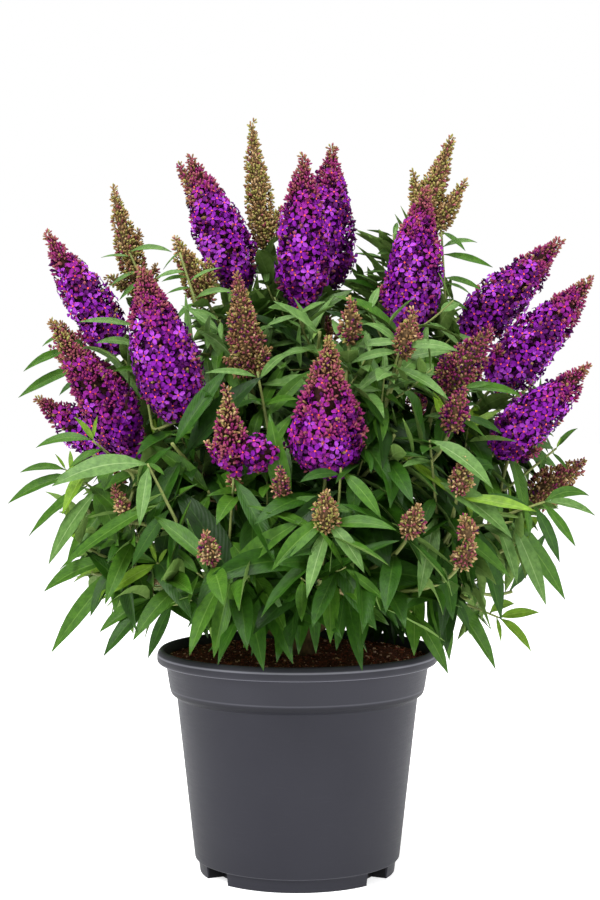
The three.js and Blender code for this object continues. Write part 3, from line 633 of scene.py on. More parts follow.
# %% The tips of the shoots
MASSES = {
    "low_front": (True, [
        ("tuft", 6, 201, 322, 20, 30, 11), ("tuft", -19, 203, 292, 28, 25, 10), ("tuft", 37, 214, 284, 40, 24, 11),
        ("tuft", 25, 209, 311, 38, 27, 10), ("leafy", -33, 182, 256, 66), ("leafy", 22, 164, 236, 70),
        ("leafy", -10, 156, 232, 72)]),
    "low_left": (True, [
        ("leafy", -64, 190, 276, 62), ("tuft", -44, 196, 323, 27, 25, 10), ("leafy", -88, 184, 250, 68),
        ("leafy", -47, 164, 230, 74), ("leafy", -80, 196, 322, 56)]),
    "low_right": (True, [
        ("leafy", 66, 186, 274, 62), ("spike", 88, 233, 335, 54, 56, 12), ("tuft", 40, 196, 347, 18, 31, 11),
        ("leafy", 97, 180, 226, 74), ("leafy", 52, 172, 236, 70), ("leafy", 80, 196, 300, 58)]),
    "front": (True, [
        ("bloom", 8, 167, 432, 10, 100, 29), ("bloom", -19, 160, 398, 12, 64, 18), ("spike", 34, 157, 455, 24, 38, 12),
        ("spike", 46, 174, 396, 22, 34, 13), ("tuft", -4, 172, 338, 26, 25, 9), ("spike", 21, 116, 464, 8, 34, 10),
        ("leafy", 27, 160, 362, 44), ("leafy", 2, 132, 300, 50)]),
    "front_left": (True, [
        ("bloom", -47, 161, 486, 18, 116, 27), ("bloom", -67, 207, 447, 34, 122, 23), ("leafy", -36, 172, 366, 46),
        ("leafy", -58, 186, 346, 52), ("leafy", -30, 134, 318, 48)]),
    "left": (False, [
        ("bloom", -93, 206, 522, 32, 112, 21), ("bloom", -87, 211, 386, 56, 84, 20),
        ("spike", -112, 168, 564, 15, 96, 11), ("leafy", -84, 206, 340, 58), ("leafy", -76, 190, 420, 44)]),
    "right": (False, [
        ("bloom", 86, 237, 483, 42, 116, 24), ("bloom", 74, 237, 413, 47, 98, 21.5),
        ("bloom", 99, 221, 518, 45, 114, 23), ("spike", 62, 170, 441, 40, 60, 18),
        ("leafy", 104, 206, 400, 50), ("leafy", 80, 192, 350, 56)]),
    "top_left": (False, [
        ("bloom", -109, 94, 586, 23, 116, 24), ("spike", -27, 101, 483, 14, 80, 15),
        ("spike", -79, 100, 516, 27, 58, 12), ("leafy", -150, 130, 470, 36), ("leafy", -52, 116, 436, 34)]),
    "top_right": (False, [
        ("bloom", 79, 105, 555, 8, 116, 25), ("spike", 111, 139, 605, 22, 100, 12), ("leafy", 52, 128, 470, 34),
        ("spike", 108, 148, 568, 34, 52, 9), ("leafy", 92, 150, 474, 40), ("leafy", 140, 130, 480, 36)]),
    "top": (False, [
        ("bloom", 150, 58, 596, 6, 118, 24), ("bloom", 8, 38, 580, 5, 118, 23), ("spike", -147, 71, 619, 10, 108, 11),
        ("leafy", 12, 84, 440, 24), ("leafy", 190, 110, 480, 34)]),
}
STUMP = {"height": 76, "radius": 11, "top": 9, "flare": 17, "flare_height": 14, "lean": 4, "sunk": 3, "above": 0.3}
BOUGH = {"lowest": 0.2, "highest": 0.96, "offset": 5.5, "spread": 0.95, "share": 0.4, "base": 3.2, "tip": 2.5}
FORK = {"above": 0.05, "last": 0.9, "onwards": 0.45}  # where shoots leave the main stem, and how much they follow it
BACK = {"widest": 80, "turn": 8, "sway": 12, "out": 0.97}
SOIL, GOLDEN = 172, 0.6180339887


# %% Ways and paths
def sway(count, purpose):
    """A steady number from -0.5 to 0.5 for each count and purpose: the fractional part of golden steps."""
    return (np.asarray(count) * GOLDEN + GOLDEN + (purpose + 1) * 0.3819 + SEED * 0.137) % 1 - 0.5


def outwards(turn):
    """The level direction (sin turn, -cos turn, 0) out from the axis, the turn in degrees."""
    return np.array([np.sin(np.radians(turn)), -np.cos(np.radians(turn)), 0.0])


def heading(turn, lean):
    """The direction that leans out from upright: outwards * sin(lean) + up * cos(lean)."""
    return outwards(turn) * np.sin(np.radians(lean)) + UP * np.cos(np.radians(lean))


def sweep(start, leaving, end, arriving, grip=0.36, count=400):
    """Even points on the cubic Bezier curve whose handles are a share of the distance long."""
    reach = np.linalg.norm(end - start) * grip
    first, second = start + leaving * reach, end - arriving * reach
    t = np.linspace(0, 1, count)[:, None]
    path = (1 - t) ** 3 * start + 3 * t * (1 - t) ** 2 * first + 3 * t ** 2 * (1 - t) * second + t ** 3 * end
    run = np.concatenate([[0], np.cumsum(np.linalg.norm(np.diff(path, axis=0), axis=1))])
    even = np.linspace(0, run[-1], count)
    return np.stack([np.interp(even, run, path[:, k]) for k in range(3)], -1), run[-1]


def at(path, share):
    """The points of an even path at shares of its length."""
    spot = np.asarray(share, float) * (len(path) - 1)
    low = np.clip(spot.astype(int), 0, len(path) - 2)
    part = np.expand_dims(spot - low, -1)
    return path[low] * (1 - part) + path[low + 1] * part


def way_at(path, share):
    """The direction of an even path at shares of its length."""
    share = np.asarray(share, float)
    return unit(at(path, np.clip(share + 0.004, 0, 1)) - at(path, np.clip(share - 0.004, 0, 1)))


# %% The stems
stump_low = np.array([0, 0, SOIL + STUMP["above"] - STUMP["sunk"]])
stump_high = np.array([STUMP["lean"], -STUMP["lean"] / 2, SOIL + STUMP["above"] + STUMP["height"]])


def twin(i, kind, turn, out, up, *rest):
    """The shoot behind the plant that answers one in front of it."""
    return (kind, 180 - turn + BACK["turn"] + BACK["sway"] * sway(i, 1), out * BACK["out"],
            up + BACK["sway"] * sway(i, 3), *rest)


rows_of = []
for name, (behind, rows) in MASSES.items():
    rows_of.append((name, rows))
    if behind:
        narrow = [row for row in rows if abs(row[1]) < BACK["widest"]]
        rows_of.append(("back_" + name, [twin(i, *row) for i, row in enumerate(narrow)]))
rows_of.sort(key=lambda mass: mass[1][0][2] / (mass[1][0][3] - SOIL), reverse=True)

shoots = []
for index, (name, rows) in enumerate(rows_of):
    turn, out, up = rows[0][1:4]
    rank = index / (len(rows_of) - 1)
    start = stump_low + (stump_high - stump_low) * (BOUGH["lowest"] + (BOUGH["highest"] - BOUGH["lowest"]) * rank)
    start = start + outwards(turn) * BOUGH["offset"]
    leaving = heading(turn, np.degrees(np.arctan2(out, up - start[2])) * BOUGH["spread"])
    main = None
    for i, (kind, turn, out, up, lean, *size) in enumerate(rows):
        length, radius = size or (0, 0)
        tip, axis = outwards(turn) * out + UP * up, heading(turn, lean)
        foot = tip - axis * length
        if main is None:
            begin, first = start, leaving
        else:
            lowest = BOUGH["share"] + FORK["above"]
            fork = lowest + (FORK["last"] - BOUGH["share"] - FORK["above"]) * (i - 1) / len(rows)
            begin, onwards = at(main, fork), way_at(main, fork)
            first = unit(onwards * FORK["onwards"] + unit(foot - begin) * (1 - FORK["onwards"]))
        path, run = sweep(begin, first, foot, axis)
        shoots.append({"mass": name, "kind": kind, "tip": tip, "foot": foot, "axis": axis, "turn": turn,
                       "length": length, "radius": radius, "path": path, "run": run, "main": main is None})
        if main is None:
            main = path
print(len(shoots), "shoots in", len(rows_of), "masses; the last tip is at", np.round(shoots[-1]["tip"], 1))

# %% [markdown]
# ## Bark on the stump and the boughs
#
# Old wood at the foot of the bush is pale tan-brown and splits into long shallow ridges. Each limb is a
# ring of points carried along its path, and the ridges are real relief: waves that run round the limb
# and wander slowly along it.

# %% Stump and boughs
BARK_SIDES, BARK_STEP = 26, 1.6


def bark(path, radii, depth, count):
    """A barked limb: ridge height = depth * (count cracks round the limb that wander along it + small knots)."""
    def ridges(ring, angle):
        along = ring * BARK_STEP
        wander = 1.3 * np.sin(along / 17.0) + 0.7 * np.sin(along / 7.3 + 1)
        cracks = np.abs(np.sin(0.5 * (count * angle + wander))) ** 0.6 - 0.6
        knots = 0.3 * np.sin(along / 3.1 + 3 * np.sin(angle * 2))
        return depth * (cracks + knots)
    return tube(path, radii, BARK_SIDES, ridges)


steps = int(STUMP["height"] / BARK_STEP)
share = np.linspace(0, 1, steps)
stem = STUMP["radius"] + (STUMP["top"] - STUMP["radius"]) * share
flare = np.exp(-share * STUMP["height"] / STUMP["flare_height"])
start = stump_low + (stump_high - stump_low) * (STUMP["sunk"] + 0.2) / (STUMP["height"] + STUMP["sunk"])
path = start + (stump_high - start) * share[:, None]
limbs = [bark(path, stem + (STUMP["flare"] - STUMP["radius"]) * flare, 0.9, 9)]
for shoot in shoots:
    if shoot["main"]:
        steps = max(8, int(shoot["run"] * BOUGH["share"] / BARK_STEP))
        share = np.linspace(0, 1, steps)
        path = at(shoot["path"], share * BOUGH["share"])
        limbs.append(bark(path, BOUGH["base"] + (BOUGH["tip"] - BOUGH["base"]) * share, 0.28, 5))
bark_finish = plain_finish("old_bark", (110, 88, 62), (68, 53, 37), 0.9, 160.0, 900.0, 0.0006, **DULL)
corners, faces = joined(limbs)
wood = make_piece("bark", corners, faces, [bark_finish])
stands_for(wood, "bark", "stump", *BOUGHS)

# %% [markdown]
# ## Where a leaf may be
#
# A leaf keeps to the space of its own mass, and out of the flower spikes, the pot and the compost. The
# test looks at points down the leaf's middle: a spike is a row of round points, and the pot is a ring.
# A leaf that fails is tried at another turn or a smaller size, and left out if nothing fits.

# %% Leaf shape and spacing
LEAF = {"first": 3, "step": 17, "bare_main": 0.06, "bare_side": 0.12, "young": 0.5, "grown_after": 2.6,
        "slim": 0.225, "angle": 64, "angle_sway": 26, "turn_sway": 34, "sag_high": 0.1, "sag_low": 0.5,
        "droop_high": 1.1, "droop_low": 1.2, "light_from": 500, "heavy_below": 240, "droop_sway": 0.8,
        "roll": 76, "inward": 0.3, "grown_at": 40, "full_step": 88, "least_step": 0.62}
FULL = ((200, 98), (320, 92), (430, 69), (520, 56), (600, 46))  # heights, and how long a full-grown leaf is there
OUTLINES = {"bloom": (0.6, 0.97, 1, 0.92, 0.76, 0.54, 0.16), "spike": (0.5, 0.95, 1, 0.84, 0.62, 0.38, 0.12),
            "tuft": (0.5, 1, 0.92, 0.34)}
# How low leaf tips hang: across the front half of the plant, and all over the back half.
HEM = ((-240, 285), (-215, 250), (-192, 190), (-122, 186), (-110, 216), (-84, 216), (-68, 194), (-30, 192),
       (0, 202), (25, 200), (50, 192), (80, 204), (104, 186), (150, 180), (180, 204), (205, 240), (225, 285))
HEM_BEHIND, HEM_SWAY = 177, 36
# Openings through the crown as the viewer sees it: across, up from the eye's height, and radius.
CLEARINGS = (
    (-119, 91, 9), (101, -199, 11), (134, 59, 6), (-68, 57, 7), (156, -193, 7), (-98, 70, 4), (-182, -107, 5),
    (120, 101, 4), (-159, -149, 4), (-144, 53, 4), (141, -166, 4), (186, -17, 4), (-174, -175, 4), (166, -87, 3),
    (-154, -85, 3), (-154, 82, 6), (183, -183, 10), (-112, -214, 10), (-155, -209, 6), (128, -207, 6),
    (167, -216, 6), (-55, -13, 3))
# The dense body of the crown as the viewer sees it: the turn round its middle (0 right, 90 up) and radius.
BODY_MIDDLE, BODY_SWAY = -83, 0.1
BODY = ((-180, 206), (-170, 197), (-160, 200), (-150, 206), (-140, 196), (-130, 190), (-120, 200), (-110, 196),
        (-90, 188), (-70, 196), (-60, 203), (-50, 195), (-40, 205), (-30, 196), (-20, 200), (-10, 208), (0, 214),
        (10, 214), (20, 216), (30, 212), (40, 204), (50, 200), (60, 214), (70, 232), (90, 240), (110, 236),
        (120, 205), (130, 200), (140, 205), (160, 203), (170, 204), (180, 206))
SLACK = {"box": 4, "rim": 2, "wall": 3, "above": 1.5}  # room around a mass's box, the pot and the compost
CORE, COVERED, DARING = 0.85, 0.8, 0.46  # shares of a spike's radius kept free, and a leaf's luck in front of one
SEEN_TO = 120  # spikes further back than this don't show from the front
RINGS = 9  # steps down a leaf's middle
boxes = {shoot["mass"]: np.array(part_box("crown_" + shoot["mass"])) * 1000 for shoot in shoots}

whole, shown = [], []
for shoot in shoots:
    if shoot["length"]:
        outline = OUTLINES[shoot["kind"]]
        along = np.linspace(0, 1, int(shoot["length"] / 5) + 2)
        points = shoot["foot"] + (shoot["tip"] - shoot["foot"]) * along[:, None]
        thick = shoot["radius"] * np.interp(along, np.linspace(0, 1, len(outline)), outline)
        whole += zip(points, thick)
        shown += list(zip(points, thick))[int(len(along) * 0.2):]


# %% The middle of a leaf
def hang_at(height, kind):
    """How much the leaves at a height sag at their stalk or droop along the blade: lower ones are heavier."""
    low = np.clip((LEAF["light_from"] - height) / (LEAF["light_from"] - LEAF["heavy_below"]), 0, 1)
    return LEAF[kind + "_high"] + (LEAF[kind + "_low"] - LEAF[kind + "_high"]) * low


def midribs(roots, leaving, lengths, droops):
    """Points down each leaf's middle: each step follows leaving - up * droop * (share of the way)."""
    share = (np.arange(RINGS) + 0.5) / RINGS
    steps = unit(leaving[:, None] - UP * (droops[:, None] * share)[..., None])
    runs = np.cumsum(steps * (lengths / RINGS)[:, None, None], 1)
    return np.concatenate([roots[:, None], roots[:, None] + runs], 1), steps


# %% Tests of a leaf's place
def flattened(points):
    """Where points appear to the viewer: (x, z) * distance / depth, and the depth itself."""
    away = points - EYE
    return away[..., [0, 2]] * (-EYE[1] / away[..., 1:2]), away[..., 1]


def before_spikes(points):
    """True for each point that hides a spike from the viewer, or a back spike from someone behind the plant."""
    spots, depth = flattened(points)
    hidden = np.zeros(points.shape[:-1], bool)
    for spot, radius in shown:
        place, far = flattened(spot)
        if spot[1] < SEEN_TO:
            hidden |= (depth < far) & (((spots - place) ** 2).sum(-1) < (radius * COVERED) ** 2)
        if spot[1] > 0:
            away = points - spot
            out = away @ unit(spot * [1, 1, 0])
            hidden |= (out > 0) & ((away ** 2).sum(-1) - out ** 2 < (radius * COVERED) ** 2)
    return hidden


def in_clearing(points):
    """True for each point that the viewer sees in an opening of the crown."""
    spots, _ = flattened(points)
    return np.any([((spots - [x, z]) ** 2).sum(-1) < radius ** 2 for x, z, radius in CLEARINGS], axis=0)


def in_body(points, numbers):
    """True for each point that the viewer sees inside the crown's dense body, whose edge sways a little."""
    spots, _ = flattened(points)
    x, z = spots[..., 0], spots[..., 1] - BODY_MIDDLE
    edge = np.interp(np.degrees(np.arctan2(z, x)), *zip(*BODY))
    return np.hypot(x, z) < edge * (1 + BODY_SWAY * sway(numbers, 20))[:, None]


def fits(points, low, high, numbers):
    """True for each leaf whose points all stay in its mass's box, off the spikes, the pot and the compost."""
    x, y, z = points[..., 0], points[..., 1], points[..., 2]
    out = np.hypot(x, y)
    boxed = (points > low[:, None] - SLACK["box"]) & (points < high[:, None] + SLACK["box"])
    rim = (out > POT["lip_inner"] - 4) & (out < POT["rim"] + SLACK["rim"]) & (z < POT["height"] + SLACK["above"])
    sunk = (out < POT["lip_inner"]) & (z < SOIL + SLACK["above"])
    walls = (out < POT["rim"] + SLACK["wall"]) & (z < POT["lip_under"] - 4) & (out > POT["lip_inner"] - 6)
    hem = np.where(y < 20, np.interp(x, *zip(*HEM)), HEM_BEHIND)
    hem = hem + HEM_SWAY * (0.5 + sway(numbers, 17))[:, None] ** 2
    ok = boxed.all((1, 2)) & ~(rim | sunk | walls | (z < hem)).any(1)
    ok &= ~before_spikes(points).any(1) | (sway(numbers, 18) > DARING)
    ok &= ~in_clearing(points).any(1) & in_body(points, numbers).all(1)
    flat = points.reshape(-1, 3)
    near = np.zeros(len(flat), bool)
    for spot, radius in whole:
        near |= ((flat - spot) ** 2).sum(1) < (radius * CORE + 1) ** 2
    return ok & ~near.reshape(points.shape[:2]).any(1)


# %% Pairs of leaves
def pairs_on(path, run, first, step, bare, turn, grown_after, young, full, number):
    """The opposite pairs of leaves on a stem: roots, ways along and across, lengths, turns, numbers, ages.

    length = full * (young + (1 - young) * min(1, pair / grown_after)); age = the distance from the tip.
    """
    count = max(0, int((run * (1 - bare) - first) / step) + 1)
    pair = np.arange(count)
    share = 1 - (pair * step + first) / run
    root, along = at(path, share), way_at(path, share)
    across = unit(np.cross(outwards(turn + 90)[None], along))
    length = full(root[:, 2]) * (young + (1 - young) * np.minimum(1, (pair + 0.8) / grown_after))
    both = [np.repeat(each, 2, 0) for each in (root, along, across, length, pair * step + first)]
    turns = 45 + 90 * np.repeat(pair % 2, 2) + 180 * (np.arange(2 * count) % 2)
    return (*both[:4], turns, number + np.arange(2 * count), both[4])


SIZES_TRIED, TURNS_TRIED = (1, 0.82, 0.64), (0, 30, -30, 60, -60)


def laid_out(roots, along, across, lengths, turns, numbers, ages, low, high, droop_share=1.0):
    """Leaves that fit: each at the first of a few turns and sizes that keeps it in its space."""
    other = np.cross(along, across)
    opening = np.radians(LEAF["angle"] + LEAF["angle_sway"] * sway(numbers, 5))
    grown = np.clip(ages / LEAF["grown_at"], 0.3, 1)
    droops = hang_at(roots[:, 2], "droop") * (1 + LEAF["droop_sway"] * sway(numbers, 6)) * droop_share * grown
    sags = (hang_at(roots[:, 2], "sag") * (1 + LEAF["droop_sway"] * sway(numbers, 15)) * grown)[:, None]
    found = {"leaving": np.zeros_like(roots), "top": np.zeros_like(roots), "length": np.zeros(len(roots)),
             "droop": np.zeros(len(roots))}
    waiting = np.ones(len(roots), bool)
    for size in SIZES_TRIED:
        for more in TURNS_TRIED:
            angle = np.radians(turns + LEAF["turn_sway"] * sway(numbers, 4) + more)[:, None]
            away = across * np.cos(angle) + other * np.sin(angle)
            leaving = unit(along * np.cos(opening)[:, None] + away * np.sin(opening)[:, None] - UP * sags)
            top = along * np.sin(opening)[:, None] - away * np.cos(opening)[:, None]
            outward = (leaving * unit(roots * [1, 1, 0])).sum(-1)
            hang = droops * np.clip(0.75 + 0.75 * outward, LEAF["inward"], 1)
            todo = np.flatnonzero(waiting)
            ribs, _ = midribs(roots[todo], leaving[todo], lengths[todo] * size, hang[todo])
            good = todo[fits(ribs[:, 2:], low[todo], high[todo], numbers[todo])]
            for key, value in (("leaving", leaving), ("top", top), ("length", lengths * size), ("droop", hang)):
                found[key][good] = value[good]
            waiting[good] = False
    found.update(root=roots, number=numbers, age=ages)
    return {"kept": ~waiting, **{key: value[~waiting] for key, value in found.items()}}


# %% Leaves along the shoots
def full_length(height):
    """The length of a full-grown leaf at a height."""
    return np.interp(height, *zip(*FULL))


def step_of(shoot):
    """The distance between the pairs of a shoot, shorter where the leaves are small."""
    return LEAF["step"] * np.clip(full_length(shoot["tip"][2] - 60) / LEAF["full_step"], LEAF["least_step"], 1)


def with_box(shoot, arrays):
    """The arrays of a shoot's leaves and, for each leaf, the corners of its mass's box."""
    low, high = boxes[shoot["mass"]]
    return (*arrays, np.repeat(low[None], len(arrays[0]), 0), np.repeat(high[None], len(arrays[0]), 0))


def placed(batches, owners, **more):
    """The leaves of several batches that fit, each with the number of the shoot that owns it."""
    found = laid_out(*[np.concatenate(column) for column in zip(*batches)], **more)
    return {**found, "owner": np.concatenate(owners)[found["kept"]]}


batches, owners, number = [], [], 0
for i, shoot in enumerate(shoots):
    bare = BOUGH["share"] + LEAF["bare_main"] if shoot["main"] else LEAF["bare_side"]
    arrays = pairs_on(shoot["path"], shoot["run"], LEAF["first"], step_of(shoot), bare, shoot["turn"],
                      LEAF["grown_after"], LEAF["young"], full_length, number)
    number += len(arrays[0])
    batches.append(with_box(shoot, arrays))
    owners.append(np.full(len(arrays[0]), i))
leaves = placed(batches, owners)
print(len(leaves["root"]), "leaves on the shoots")

# %% [markdown]
# A short young twig grows in the angle between an old leaf and its stem. These finer twigs carry two to
# four pairs of small leaves, and fill the crown between the large ones.

# %% Finer twigs
SPRIG = {"odds_low": 0.16, "odds_high": 0.46, "shortest": 22, "longest": 58, "open": 42, "step": 12, "full": 0.62,
         "bare": 0.25, "radius": 0.9, "turn_sway": 30, "open_sway": 24, "run": 0.8, "rise_high": 0.28, "rise_low": 0.1,
         "first": 2, "bare_foot": 0.2, "grown_after": 2.2, "young": 0.45, "droop": 0.8}


def small_length(height):
    """The length of a full-grown leaf on a finer twig."""
    return SPRIG["full"] * full_length(height)


sprigs, batches, owners = [], [], []
for i, shoot in enumerate(shoots):
    bare = BOUGH["share"] + LEAF["bare_main"] if shoot["main"] else SPRIG["bare"]
    roots, along, across, _, turns, numbers, _ = pairs_on(
        shoot["path"], shoot["run"], LEAF["first"] + 2 * LEAF["step"], step_of(shoot), bare, shoot["turn"], 1, 1,
        full_length, number)
    number += len(roots)
    low, high = boxes[shoot["mass"]]
    for root, way, side, turn, count in zip(roots, along, across, turns, numbers):
        if sway(count, 9) + 0.5 > np.interp(root[2], (250, 420), (SPRIG["odds_low"], SPRIG["odds_high"])):
            continue
        angle = np.radians(turn + SPRIG["turn_sway"] * sway(count, 4))
        opening = np.radians(SPRIG["open"] + SPRIG["open_sway"] * sway(count, 5))
        away = side * np.cos(angle) + np.cross(way, side) * np.sin(angle)
        leaving = way * np.cos(opening) + away * np.sin(opening)
        length = SPRIG["shortest"] + (SPRIG["longest"] - SPRIG["shortest"]) * (sway(count, 10) + 0.5)
        rise = SPRIG["rise_high"] if root[2] > 300 else SPRIG["rise_low"]
        end = root + leaving * length * SPRIG["run"] + UP * length * rise
        arriving = unit(leaving + UP * 0.5)
        path, run = sweep(root, leaving, end, arriving, count=40)
        if not fits(path[None, 8:], low[None], high[None], np.array([count]))[0]:
            continue
        sprigs.append(path)
        arrays = pairs_on(path, run, SPRIG["first"], SPRIG["step"], SPRIG["bare_foot"], turn, SPRIG["grown_after"],
                          SPRIG["young"], small_length, number)
        number += len(arrays[0])
        batches.append(with_box(shoot, arrays))
        owners.append(np.full(len(arrays[0]), i))
small = placed(batches, owners, droop_share=SPRIG["droop"])
print(len(sprigs), "finer twigs with", len(small["root"]), "leaves")

# %% [markdown]
# Some young side shoots reach out of the crown, and their leaves stand alone against the light. Each row
# gives the mass, the foot and tip of the shoot's free end, and its leaves: how far along the free end the
# leaf sits, the three coordinates at which its tip ends, and its place in LEAF_TINTS. The direction and
# length in which a leaf must set off for its drooping blade to end there come from correcting a first guess.

